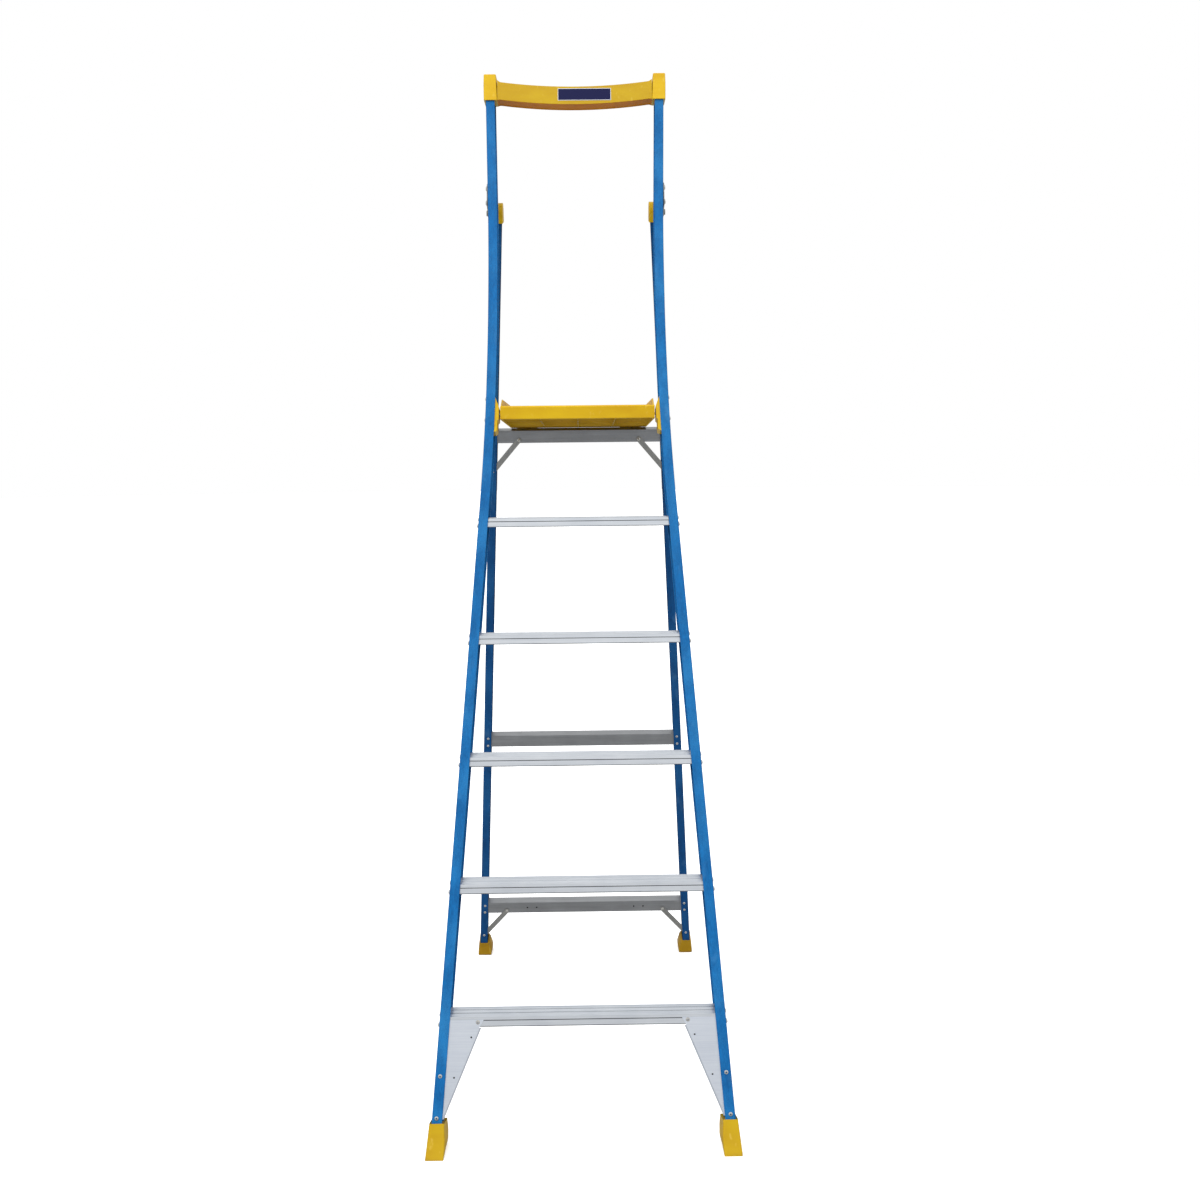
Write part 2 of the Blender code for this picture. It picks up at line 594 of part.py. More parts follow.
def platform_deck():
    """Moulded deck: deep skirts that run lower towards the rear, side rims and a ribbed
    underside."""
    rear = PLATFORM_REAR - 0.0002
    bottom = PLATFORM_TOP - PLATFORM_NOSE
    bm = bmesh.new()
    rings = []
    for y, low, top in ((PLATFORM_FRONT, bottom + 0.002, PLATFORM_TOP - 0.004),
                        (PLATFORM_FRONT + 0.003, bottom, PLATFORM_TOP - 0.0008),
                        (PLATFORM_FRONT + 0.008, bottom, PLATFORM_TOP),
                        (PLATFORM_SEAT_Y, PLATFORM_SEAT, PLATFORM_TOP),
                        (rear, PLATFORM_SEAT, PLATFORM_TOP)):
        half = platform_half(y)
        rings.append([(-half, y - HINGE_Y, low - HINGE_Z), (half, y - HINGE_Y, low - HINGE_Z),
                      (half, y - HINGE_Y, top - HINGE_Z), (-half, y - HINGE_Y, top - HINGE_Z)])
    made = node("platform_deck", loft(bm, rings), YELLOW, PLATFORM)
    front, back = PLATFORM_FRONT + DECK_WALL, rear - DECK_WALL
    pitch_y = (back - front + DECK_WEB) / DECK_ROWS
    pockets = bmesh.new()
    for r in range(DECK_ROWS):
        y0 = front + r * pitch_y
        y1 = y0 + pitch_y - DECK_WEB
        half = platform_half(y1) - DECK_WALL
        pitch_x = (2 * half + DECK_WEB) / DECK_COLUMNS
        for c in range(DECK_COLUMNS):
            x0 = -half + c * pitch_x
            low, high = (x0, y0 - HINGE_Y, -0.06), (x0 + pitch_x - DECK_WEB, y1 - HINGE_Y,
                                                    PLATFORM_TOP - DECK_WALL - HINGE_Z)
            block(pockets, low, high)
    cut(made, cutter("deck_pockets", pockets, PLATFORM))
    past = PLATFORM_REAR + 0.01
    outline = [(platform_half(PLATFORM_FRONT) - LEDGE_WIDTH, PLATFORM_FRONT - 0.01 - HINGE_Y),
               (PLATFORM_HALF_FRONT + 0.01, PLATFORM_FRONT - 0.01 - HINGE_Y),
               (PLATFORM_HALF_FRONT + 0.01, past - HINGE_Y),
               (platform_half(past) - LEDGE_WIDTH, past - HINGE_Y)]
    level = PLATFORM_TOP - LEDGE_DROP - HINGE_Z
    for name, side in SIDES:
        step = prism(bmesh.new(), outline, level, level + 0.01, "z")
        cut(made, cutter("deck_ledge_" + name, step, PLATFORM, side))
    return made


def platform_rim(side_name, side):
    """Low rim along each side of the deck, sloped down at its front end."""
    front, peak, rear = PLATFORM_FRONT + 0.012, PLATFORM_FRONT + 0.052, PLATFORM_REAR - 0.010
    base = PLATFORM_TOP - LEDGE_DROP + GAP
    rings = []
    for inset in (0.0005, 0.0005 + RIM_SHEET):
        ring = []
        for y, z in ((front, base), (rear, base), (rear, base + RIM_REAR_HEIGHT),
                     (peak, base + RIM_HEIGHT)):
            ring.append((platform_half(y) - inset, y - HINGE_Y, z - HINGE_Z))
        rings.append(ring)
    return node("platform_rim_" + side_name, loft(bmesh.new(), rings), YELLOW, PLATFORM, side)


def platform_catch(side_name, side):
    """Angle behind the rear of the deck that drops behind the crossbar and keeps it in."""
    y0 = PLATFORM_REAR - HINGE_Y
    bm = block(bmesh.new(), (CATCH_FROM, y0, CATCH_LOW - HINGE_Z),
               (CATCH_TO, y0 + CATCH_SHEET, CATCH_HIGH - HINGE_Z))
    return node("platform_catch_" + side_name, bm, ZINC, PLATFORM, side)


# --------------------------------------------------------------------------------- assembly
def build_front():
    stiles = {}
    brackets = {}
    for i in range(1, TREADS + 1):
        tread(i)
    for name, side in SIDES:
        stiles[name] = front_stile(name, side)
        brackets[name] = platform_bracket(name, side)
        gusset(name, side)
        shoe = foot(name, side, rear=False)
        cut(shoe, stile_pocket("foot_pocket_" + name, side))
        handrail_corner(name, side)
        for level, z in BRACKET_RIVETS:
            web = front_half(z + RIVET_DEPTH * sin(LEAN))
            point = (side * (web + 0.0008), RIVET_DEPTH, up_front(z, RIVET_DEPTH))
            fastener(f"bracket_rivet_{level}_{name}", FRONT, point, (side, 0, 0),
                     rivet(0.014, 0.0055, 0.0030, 0.003), 10, (stiles[name], brackets[name]))
    handrail_bar()
    label_plate()
    return stiles, brackets


def build_rear():
    legs = {}
    for name, side in SIDES:
        legs[name] = rear_leg(name, side)
        rear_cap(name, side)
        shoe = foot(name, side, rear=True)
        cut(shoe, leg_pocket("rear_foot_pocket_" + name, side))
    for level, top in (("upper", UPPER_BAR), ("middle", MIDDLE_BAR), ("lower", LOWER_BAR)):
        crossbar("crossbar_" + level, top)
    for level, top, bar_x, leg_s in BRACES:
        on_bar = (bar_x, top - CROSSBAR_HEIGHT + BRACE_ON_BAR)
        on_leg = (rear_half(PIVOT_Z + leg_s * cos(REAR_LEAN)) - BRACE_ON_LEG, leg_s)
        for name, side in SIDES:
            brace(f"brace_{level}_{name}", side, on_bar, on_leg)
    return legs


def build_hinges(stiles, legs):
    """Rear frame hinge: a plate on the stile, a bolt, a spacer, and a nut inside the leg."""
    sheet_out = HINGE_PLATE_X + HINGE_PLATE_SHEET + GAP
    pivot_s = up_front(PIVOT_Z, PIVOT_DEPTH)
    depth = HINGE_RIVET_DEPTH
    pins = [(PIVOT_DEPTH, pivot_s)] + [(depth, up_front(z, depth)) for _, z in HINGE_RIVETS]
    bolt = [(0, 0.005), (0.007, 0.005), (0.010, 0.0025), (0.011, 0.0), (0.005, 0.0), (0.005, -0.030),
            (0, -0.030)]
    leg_outside = rear_half(PIVOT_Z)
    for name, side in SIDES:
        plate = hinge_plate(name, side, pins)
        for (level, _), (depth, s) in zip(HINGE_RIVETS, pins[1:]):
            fastener(f"hinge_rivet_{level}_{name}", FRONT, (side * sheet_out, depth, s), (side, 0, 0),
                     rivet(0.012, 0.0075, 0.0038, 0.0032), 10, (stiles[name], plate))
        fastener("pivot_bolt_" + name, FRONT, (side * sheet_out, PIVOT_DEPTH, pivot_s), (side, 0, 0),
                 bolt, 12, (plate, legs[name]))
        start, end = HINGE_PLATE_X - GAP, leg_outside + 0.0012
        fastener("pivot_spacer_" + name, FRONT, (side * start, PIVOT_DEPTH, pivot_s), (side, 0, 0),
                 ring(0.0053, 0.0090, start - end), 12)
        fastener("pivot_nut_" + name, FRONT,
                 (side * (leg_outside - LEG_WALL - 0.0010), PIVOT_DEPTH, pivot_s), (side, 0, 0),
                 ring(0.0053, 0.0080, 0.0065), 12)


def build_platform(brackets):
    """Deck, rims and catches, on two headed pins that turn in the stiles' hinge blocks."""
    deck = platform_deck()
    pin = [(0, -0.0365), (PIN_HEAD, -0.0365), (PIN_HEAD, -0.0315), (PIN_RADIUS, -0.0315),
           (PIN_RADIUS, 0.0), (0, 0.0)]
    bore = PIN_RADIUS + 0.0005
    for name, side in SIDES:
        platform_rim(name, side)
        platform_catch(name, side)
        turn = Vector((side, 0, 0)).to_track_quat("Z", "Y").to_matrix().to_4x4()
        place = Matrix.Translation((side * PIN_END, 0, 0)) @ turn
        bm, hole = bmesh.new(), bmesh.new()
        lathe(bm, pin, place, 12)
        lathe(hole, [(0, 0.001), (bore, 0.001), (bore, -0.031), (0, -0.031)], place, 12)
        rounded(node("platform_pin_" + name, bm, ZINC, PLATFORM))
        drill = cutter("platform_pin_hole_" + name, hole, PLATFORM)
        for target in (deck, brackets[name]):
            cut(target, drill)


front_stiles, hinge_blocks = build_front()
rear_legs = build_rear()
build_hinges(front_stiles, rear_legs)
build_platform(hinge_blocks)
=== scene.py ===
"""Platform step ladder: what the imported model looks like. Metres, in the model's own frame: +Z up,
the climber's side towards -Y, the floor at z = 0. Colours are written as 0-255 display values."""
import json
from math import atan, copysign, cos, pi, radians, sin, sqrt, tan

import bmesh
import bpy
from mathutils import Matrix, Vector


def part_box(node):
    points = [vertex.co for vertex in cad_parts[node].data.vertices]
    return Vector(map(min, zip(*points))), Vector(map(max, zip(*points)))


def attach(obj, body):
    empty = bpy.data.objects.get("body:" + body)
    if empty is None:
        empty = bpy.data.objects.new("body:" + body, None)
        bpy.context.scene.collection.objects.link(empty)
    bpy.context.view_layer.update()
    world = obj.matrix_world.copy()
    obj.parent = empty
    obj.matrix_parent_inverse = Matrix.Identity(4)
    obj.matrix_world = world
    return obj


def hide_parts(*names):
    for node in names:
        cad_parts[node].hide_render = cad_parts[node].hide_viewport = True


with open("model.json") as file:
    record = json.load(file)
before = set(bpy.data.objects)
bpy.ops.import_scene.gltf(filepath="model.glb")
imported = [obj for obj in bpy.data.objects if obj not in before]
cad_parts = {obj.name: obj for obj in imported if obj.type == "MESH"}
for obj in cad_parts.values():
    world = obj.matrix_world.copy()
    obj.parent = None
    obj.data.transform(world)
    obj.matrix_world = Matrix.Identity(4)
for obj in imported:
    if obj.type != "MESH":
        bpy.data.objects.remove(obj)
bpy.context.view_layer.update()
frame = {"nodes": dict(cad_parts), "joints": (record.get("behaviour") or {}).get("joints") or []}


# ------------ studio: camera, floor, light
# A pale seamless studio. Wide soft daylight comes from above the climber's side, a soft box adds
# a highlight high up, and the surroundings give an even fill.
def tint(red, green, blue):
    """Display colour to the linear one that shaders use."""
    return tuple(c / 255 / 12.92 if c <= 10 else ((c / 255 + 0.055) / 1.055) ** 2.4
                 for c in (red, green, blue)) + (1.0,)


class Wire:
    """An output socket of a material's nodes. Sums and products of wires add Math nodes."""

    def __init__(self, tree, socket):
        self.tree = tree
        self.socket = socket

    def node(self, kind, settings, sockets, output=0):
        """Any node: its settings come first, then the values or wires of its sockets."""
        made = self.tree.nodes.new(kind)
        for key, value in settings.items():
            if key == "stops":
                ramp = made.color_ramp.elements
                while len(ramp) < len(value):
                    ramp.new(1.0)
                for stop, (position, colour) in zip(ramp, value):
                    stop.position, stop.color = position, colour
            else:
                setattr(made, key, value)
        for key, value in sockets.items():
            if isinstance(value, Wire):
                self.tree.links.new(value.socket, made.inputs[key])
            else:
                made.inputs[key].default_value = value
        return Wire(self.tree, made.outputs[output])

    def maths(self, operation, first, second):
        return self.node("ShaderNodeMath", {"operation": operation}, {0: first, 1: second})

    def __add__(self, other):
        return self.maths("ADD", self, other)

    def __rsub__(self, other):
        return self.maths("SUBTRACT", other, self)

    def __mul__(self, other):
        return self.maths("MULTIPLY", self, other)

    __radd__ = __add__


EYE = Vector((0.026857, -3.775787, 1.614888))
YAW, PITCH, ROLL = 0.0096986, -0.0450553, -0.0102855
SENSOR, LENS, SHIFT = 36.0, 41.256, (-0.00185, -0.06932)
camera = bpy.data.objects.new("camera", bpy.data.cameras.new("camera"))
camera.data.sensor_width = SENSOR
camera.data.lens = LENS
camera.data.shift_x, camera.data.shift_y = SHIFT
camera.matrix_world = (Matrix.Translation(EYE) @ Matrix.Rotation(-YAW, 4, "Z")
                       @ Matrix.Rotation(pi / 2 + PITCH, 4, "X") @ Matrix.Rotation(ROLL, 4, "Z"))
bpy.context.scene.collection.objects.link(camera)
bpy.context.scene.camera = camera
bpy.context.scene.view_settings.view_transform = "Standard"

FLOOR_RADIUS = 60.0
FLOOR_SEEN, FLOOR_BOUNCE = (1.0, 1.0, 1.0, 1.0), (0.42, 0.42, 0.42, 1.0)
FLOOR_GLOW = 0.30
ground = bmesh.new()
bmesh.ops.create_circle(ground, cap_ends=True, segments=64, radius=FLOOR_RADIUS)
floor_mesh = bpy.data.meshes.new("floor")
ground.to_mesh(floor_mesh)
ground.free()
floor = bpy.data.objects.new("floor", floor_mesh)
bpy.context.scene.collection.objects.link(floor)
pale = bpy.data.materials.new("pale_floor")
pale.use_nodes = True
pale_tree = pale.node_tree
pale_tree.nodes.clear()
seen = Wire(pale_tree, pale_tree.nodes.new("ShaderNodeLightPath").outputs["Is Camera Ray"])
direct = seen.node("ShaderNodeBsdfDiffuse", {}, {"Color": FLOOR_SEEN})
bounced = seen.node("ShaderNodeBsdfDiffuse", {}, {"Color": FLOOR_BOUNCE})
glow = seen.node("ShaderNodeEmission", {}, {"Color": FLOOR_SEEN, "Strength": FLOOR_GLOW})
lifted = seen.node("ShaderNodeAddShader", {}, {0: direct, 1: glow})
both = seen.node("ShaderNodeMixShader", {}, {0: seen, 1: bounced, 2: lifted})
surface = pale_tree.nodes.new("ShaderNodeOutputMaterial").inputs["Surface"]
pale_tree.links.new(both.socket, surface)
floor_mesh.materials.append(pale)

FILL_LOW, FILL_RISE, FILL_MOST = 0.52, 1.1, 0.95
studio = bpy.data.worlds.new("studio")
studio.use_nodes = True
bpy.context.scene.world = studio
sky = studio.node_tree
backdrop = sky.nodes["Background"]
seen = Wire(sky, sky.nodes.new("ShaderNodeLightPath").outputs["Is Camera Ray"])
aim = sky.nodes.new("ShaderNodeTexCoord").outputs["Generated"]
height = Wire(sky, sky.nodes.new("ShaderNodeSeparateXYZ").outputs["Z"])
sky.links.new(aim, height.socket.node.inputs["Vector"])
upper = height.maths("MAXIMUM", height, 0.0)
fill = height.maths("MINIMUM", upper * FILL_RISE + FILL_LOW, FILL_MOST)
level = seen + (1.0 - seen) * fill
sky.links.new(level.socket, backdrop.inputs["Strength"])
backdrop.inputs["Color"].default_value = (1.0, 1.0, 1.0, 1.0)

BOX_PLACE, BOX_TARGET, BOX_SIZE, BOX_POWER = (-1.0, -3.0, 4.6), (0.0, 0.0, 1.5), (3.0, 2.4), 25.0
SUN_POWER, SUN_SPREAD, SUN_TURN = 1.6, 70, (34, -12, 0)
overhead = bpy.data.lights.new("overhead", "AREA")
overhead.shape = "RECTANGLE"
overhead.size, overhead.size_y = BOX_SIZE
overhead.energy = BOX_POWER
daylight = bpy.data.lights.new("daylight", "SUN")
daylight.energy = SUN_POWER
daylight.angle = radians(SUN_SPREAD)
towards = (Vector(BOX_TARGET) - Vector(BOX_PLACE)).to_track_quat("-Z", "Y")
for light, turn, place in ((overhead, towards.to_euler(), BOX_PLACE),
                           (daylight, [radians(a) for a in SUN_TURN], (0.0, 0.0, 0.0))):
    lamp = bpy.data.objects.new(light.name, light)
    lamp.location, lamp.rotation_euler = place, turn
    lamp.visible_glossy = False
    bpy.context.scene.collection.objects.link(lamp)


# ------------ front stiles
# Two C channels of pultruded fibreglass, resin dyed blue right through, with glass strands along
# their length. They are cut square to the floor, splayed below and bowed in the mould above the
# platform.
def slope_between(low_node, high_node):
    """Run over rise from one node's corner to the same corner of a node above it."""
    low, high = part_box(low_node)[0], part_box(high_node)[0]
    return (high.y - low.y) / (high.z - low.z)


FRONT_LEAN = atan(slope_between("tread_1", "tread_5"))
stile_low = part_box("front_stile_right")[0]
FRONT = (Matrix.Translation((0.0, stile_low.y - stile_low.z * tan(FRONT_LEAN), 0.0))
         @ Matrix.Rotation(-FRONT_LEAN, 4, "X"))
SIDES = (("left", -1), ("right", 1))


def up_front(z, depth=0.0):
    """Distance up the front plane of a point at height z and the given depth behind it."""
    return (z + depth * sin(FRONT_LEAN)) / cos(FRONT_LEAN)


def outlined(points, rounds=(), segments=3):
    """A flat face in the XY plane; rounds lists (radius, corner numbers)."""
    bm = bmesh.new()
    corners = [bm.verts.new((a, b, 0.0)) for a, b in points]
    bm.faces.new(corners)
    for radius, numbers in rounds:
        bmesh.ops.bevel(bm, geom=[corners[k] for k in numbers], offset=radius, segments=segments,
                        profile=0.5, affect="VERTICES", material=-1)
    return bm


def swept(bm, places):
    """Draw a flat face through a row of placements into a closed solid."""
    bmesh.ops.transform(bm, matrix=places[0], verts=bm.verts)
    first = face = next(iter(bm.faces))
    for before, after in zip(places, places[1:]):
        grown = bmesh.ops.extrude_face_region(bm, geom=[face])["geom"]
        if face is not first:
            bmesh.ops.delete(bm, geom=[face], context="FACES_ONLY")
        face = next(part for part in grown if isinstance(part, bmesh.types.BMFace))
        bmesh.ops.transform(bm, matrix=after @ before.inverted(), verts=face.verts)
    bmesh.ops.recalc_face_normals(bm, faces=bm.faces)
    return bm


def soften(bm, width, segments=2, sharper=40, choose=lambda edge: True):
    """Round the edges that are sharper than an angle in degrees."""
    edges = [e for e in bm.edges if len(e.link_faces) == 2
             and e.calc_face_angle() > radians(sharper) and choose(e)]
    bmesh.ops.bevel(bm, geom=edges, offset=width, segments=segments, profile=0.5,
                    affect="EDGES", material=-1, clamp_overlap=True)
    return bm


SHARP_ANGLE = 42


def piece(name, bm, look, body, stands_for=(), side=1):
    """Finish a piece drawn for the right-hand side; side -1 mirrors it across the ladder."""
    if side < 0:
        bmesh.ops.scale(bm, verts=bm.verts, vec=(-1.0, 1.0, 1.0))
        bmesh.ops.reverse_faces(bm, faces=bm.faces)
    mesh = bpy.data.meshes.new(name)
    bm.to_mesh(mesh)
    bm.free()
    mesh.shade_smooth()
    mesh.set_sharp_from_angle(angle=radians(SHARP_ANGLE))
    for one in look if isinstance(look, (list, tuple)) else [look]:
        mesh.materials.append(one)
    made = bpy.data.objects.new(name, mesh)
    bpy.context.scene.collection.objects.link(made)
    flats = made.modifiers.new("flats", "WEIGHTED_NORMAL")
    flats.keep_sharp = True
    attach(made, body)
    if stands_for:
        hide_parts(*stands_for)
    return made


def finish(name, build):
    """Material from a function that turns object coordinates into the shader's socket values."""
    made = bpy.data.materials.new(name)
    made.use_nodes = True
    tree = made.node_tree
    shader = tree.nodes["Principled BSDF"]
    place = Wire(tree, tree.nodes.new("ShaderNodeTexCoord").outputs["Object"])
    for key, value in build(place).items():
        if isinstance(value, Wire):
            tree.links.new(value.socket, shader.inputs[key])
        else:
            shader.inputs[key].default_value = value
    return made


def noise(place, scale, detail=2.0, stretch=(1.0, 1.0, 1.0), turn=(0.0, 0.0, 0.0)):
    laid = place.node("ShaderNodeMapping", {},
                      {"Vector": place, "Rotation": turn, "Scale": stretch})
    return place.node("ShaderNodeTexNoise", {}, {"Vector": laid, "Scale": scale, "Detail": detail})


def ramp(value, *stops):
    """Remap a value: each stop is (position, grey)."""
    return value.node("ShaderNodeValToRGB",
                      {"stops": [(p, (g, g, g, 1.0)) for p, g in stops]}, {"Fac": value})


def blend(factor, first, second):
    return factor.node("ShaderNodeMix", {"data_type": "RGBA"}, {0: factor, 6: first, 7: second}, 2)


def bumped(height, distance, strength=1.0):
    return height.node("ShaderNodeBump", {}, {"Height": height, "Distance": distance,
                                              "Strength": strength})


def blue_fibreglass(lean, deep, body, pale):
    """Glass strands along a member that leans by the given angle, under dyed resin."""
    along = (-lean, 0.0, 0.0)

    def build(place):
        strands = noise(place, 420.0, 3.0, (1.0, 1.0, 0.03), along)
        bundles = noise(place, 60.0, 4.0, (1.0, 1.0, 0.05), along)
        veil = noise(place, 900.0, 2.0)
        cloud = noise(place, 9.0, 3.0)
        scuffs = ramp(noise(place, 34.0, 6.0, (1.0, 1.0, 0.4)), (0.60, 0.0), (0.74, 1.0))
        drawn = blend(ramp(strands * 0.5 + bundles * 0.5, (0.36, 0.0), (0.64, 1.0)), deep, body)
        clouded = blend(ramp(veil * cloud * 2.0, (0.44, 0.0), (0.80, 0.5)), drawn, pale)
        return {
            "Base Color": blend(scuffs * 0.16, clouded, tint(110, 160, 200)),
            "Roughness": 0.36 + strands * 0.10 + scuffs * 0.16,
            "Specular IOR Level": 0.16,
            "Normal": bumped(strands * 0.6 + veil * 0.4, 0.00012),
        }
    return build


STILE_DEPTH, STILE_FLANGE, STILE_WALL = 0.064, 0.0245, 0.003
STILE_CORNER, STILE_ROOT, STILE_LIP = 0.0032, 0.0016, 0.0011
BOW_STEPS, NEAR = 5, 2e-5
front_blue = finish("blue_fibreglass_front", blue_fibreglass(
    FRONT_LEAN, tint(8, 84, 142), tint(14, 106, 172), tint(54, 138, 196)))


def channel(depth, flange, wall):
    """C section as (inward from the web's outside, depth), with its roundings."""
    points = [(flange, 0.0), (0.0, 0.0), (0.0, depth), (flange, depth), (flange, depth - wall),
              (wall, depth - wall), (wall, wall), (flange, wall)]
    rounds = ((STILE_CORNER, (1, 2)), (STILE_ROOT, (5, 6)), (STILE_LIP, (0, 3, 4, 7)))
    return outlined(points, rounds)


def stile_edge():
    """(outer half width, distance up the plane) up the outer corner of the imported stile."""
    found = {}
    to_plane = FRONT.inverted()
    for vert in frame["nodes"]["front_stile_right"].data.vertices:
        at = to_plane @ vert.co
        if abs(at.y - STILE_CORNER) < NEAR:
            found[round(at.z, 4)] = at.x
    return [(x, s) for s, x in sorted(found.items())]


def smooth_run(points, steps):
    """Extra points on a smooth curve through a row of points, ends kept."""
    made = [points[0]]
    for k in range(len(points) - 1):
        before, after = points[max(k - 1, 0)], points[min(k + 2, len(points) - 1)]
        a, b = Vector(points[k]), Vector(points[k + 1])
        reach = (b - a).length
        leave = (b - Vector(before)).normalized() * reach
        arrive = (Vector(after) - a).normalized() * reach
        for i in range(1, steps + 1):
            t = i / steps
            made.append(tuple(a * (2 * t**3 - 3 * t**2 + 1) + b * (3 * t**2 - 2 * t**3)
                              + leave * (t**3 - 2 * t**2 + t) + arrive * (t**3 - t**2)))
    return made


def along_edge(points, base, level_ends):
    """Placements of a section along an outer edge; its ends are sheared level with the floor."""
    places = []
    for i, (x, s) in enumerate(points):
        before, after = points[max(i - 1, 0)], points[min(i + 1, len(points) - 1)]
        run = (Vector(after) - Vector(before)).normalized()
        shear = level_ends if i in (0, len(points) - 1) else 0.0
        places.append(base @ Matrix(((-run.y, 0.0, run.x, x), (0.0, 1.0, 0.0, 0.0),
                                     (run.x, shear, run.y, s), (0.0, 0.0, 0.0, 1.0))))
    return places


edge = stile_edge()
straight = [p for p in edge if p[1] < edge[2][1] + 1e-4]
STILE_RUN = straight[:-1] + smooth_run(edge[len(straight) - 1:], BOW_STEPS)
for name, side in SIDES:
    stile = swept(channel(STILE_DEPTH, STILE_FLANGE, STILE_WALL),
                  along_edge(STILE_RUN, FRONT, tan(FRONT_LEAN)))
    piece("front_stile_shell_" + name, stile, front_blue, "front_frame",
          ["front_stile_" + name], side)


def edge_at(z, depth=0.0):
    """Outer half width of the stiles at height z."""
    s = up_front(z, depth)
    for (x0, s0), (x1, s1) in zip(STILE_RUN, STILE_RUN[1:]):
        if s0 <= s <= s1:
            return x0 + (x1 - x0) * (s - s0) / (s1 - s0)
    return STILE_RUN[0][0]


# ------------ treads
# Five extruded aluminium treads. The top carries three ribbed pads with wide gutters between
# them, the nose has a bead over a gutter, and two screw bosses run along the underside. They are
# sawn to length and fixed through the stiles' webs.
def rolled_aluminium(place_scale, body, streaked, stretch, low, rough):
    """Aluminium with fine lines along one axis, handling marks and a dull film in places."""
    def build(place):
        lines = noise(place, 900.0 * place_scale, 3.0, stretch)
        bands = noise(place, 120.0 * place_scale, 3.0, stretch)
        film = noise(place, 14.0, 5.0)
        marks = ramp(noise(place, 60.0, 8.0, (0.5, 1.0, 1.0)), (0.62, 0.0), (0.70, 1.0))
        fine = lines * 0.6 + bands * 0.4
        return {
            "Base Color": blend(ramp(fine * 0.7 + film * 0.3, (0.34, 0.0), (0.66, 1.0)),
                                streaked, body),
            "Metallic": 1.0,
            "Roughness": low + fine * rough + marks * 0.10 + film * 0.06,
            "Normal": bumped(fine, 0.00006),
        }
    return build


bright = finish("bright_aluminium", rolled_aluminium(
    1.0, tint(236, 240, 245), tint(208, 214, 222), (0.01, 1.0, 1.0), 0.26, 0.16))
TREADS = [f"tread_{i}" for i in range(1, 6)]
ACROSS = Matrix(((0, 0, 1, 0), (1, 0, 0, 0), (0, 1, 0, 0), (0, 0, 0, 1)))
TREAD_WALL = 0.002
BEAD_TOP, GROOVE_HEIGHT, GUTTER, SAWN_EDGE = 0.0094, 0.0017, 0.0016, 0.0017
BEAD_ROUND, SHADE_DEPTH = 0.0008, 0.012
PADS = ((0.0050, 5), (0.0245, 5), (0.0440, 3))
RIB_PITCH, RIB_HEIGHT, PAD_HEIGHT = 0.0030, 0.0007, 0.0011
RIB_FEET, RIB_CREST, PAD_END = (0.0003, 0.0020), (0.0006, 0.0017), 0.0007
NOSE_LIP, REAR_LIP = (0.0034, 0.0040), (0.0030, 0.0026)
BOSS_OUTER, BOSS_INNER, BOSS_FOOT, BOSS_SLIT = 0.0044, 0.0029, 35, 28
BOSS_BACK, BOSS_UP = 0.0300, 0.0050


def boss(centre, towards_wall):
    """C-shaped screw boss standing on a wall; its slit faces away from that wall."""
    def arc(radius, start, end, steps):
        angles = [radians(start + (end - start) * k / steps) for k in range(steps + 1)]
        return [(centre[0] + radius * cos(a), centre[1] + radius * sin(a)) for a in angles]
    a, opened = towards_wall, 180 - BOSS_SLIT
    return (arc(BOSS_OUTER, a - BOSS_FOOT, a - opened, 6)
            + arc(BOSS_INNER, a - opened, a + opened, 12)
            + arc(BOSS_OUTER, a + opened, a + BOSS_FOOT, 6))


def tread_section(low, high):
    """Section as (distance back from the nose's foot, height over the tread's lowest edge)."""
    rise = high.z - low.z
    lean = tan(FRONT_LEAN)
    depth = high.y - low.y - rise * lean
    floor_level = rise - PAD_HEIGHT - RIB_HEIGHT
    back = rise * lean + depth
    groove = rise - BEAD_TOP

    def nose(z, inward=0.0):
        return (z * lean + inward, z)

    points = [nose(0.0), nose(SAWN_EDGE), nose(groove), nose(groove, GUTTER),
              nose(groove + GROOVE_HEIGHT, GUTTER), nose(groove + GROOVE_HEIGHT), nose(rise),
              nose(rise, NOSE_LIP[0]), nose(floor_level, NOSE_LIP[1])]
    for start, ribs in PADS:
        pad = floor_level + PAD_HEIGHT
        y = rise * lean + start
        points.append((y, floor_level))
        for k in range(ribs):
            y0 = y + k * RIB_PITCH
            points += [(y0 + RIB_FEET[0], pad), (y0 + RIB_CREST[0], rise),
                       (y0 + RIB_CREST[1], rise), (y0 + RIB_FEET[1], pad)]
        points.append((y + ribs * RIB_PITCH - PAD_END, floor_level))
    points += [(back - REAR_LIP[0], floor_level), (back - REAR_LIP[1], rise), (back, rise),
               (depth, 0.0), (depth - TREAD_WALL, 0.0)]
    under = floor_level - TREAD_WALL
    seat = BOSS_OUTER * cos(radians(BOSS_FOOT))
    points.append((under * lean + depth - TREAD_WALL, under))
    points += boss((rise * lean + BOSS_BACK, under - seat), 90)
    points.append(nose(under, TREAD_WALL))
    points += boss((TREAD_WALL + seat + BOSS_UP * lean, BOSS_UP), 180)
    points.append(nose(0.0, TREAD_WALL))
    return points


def gutter_dirt_and_shade(place):
    """Aluminium dulled by trodden-in dirt where a sole never rubs it, and painted darker as the
    shade in the gutters, the nose groove and under the nose.
    """
    lines = noise(place, 900.0, 3.0, (0.01, 1.0, 1.0))
    clumps = ramp(noise(place, 40.0, 6.0, (0.3, 1.0, 1.0)), (0.40, 0.0), (0.66, 1.0))
    return {"Base Color": blend(clumps, tint(58, 62, 68), tint(106, 112, 118)), "Metallic": 0.6,
            "Roughness": 0.55 + lines * 0.15, "Normal": bumped(lines * 0.5 + clumps * 0.5, 0.0001)}


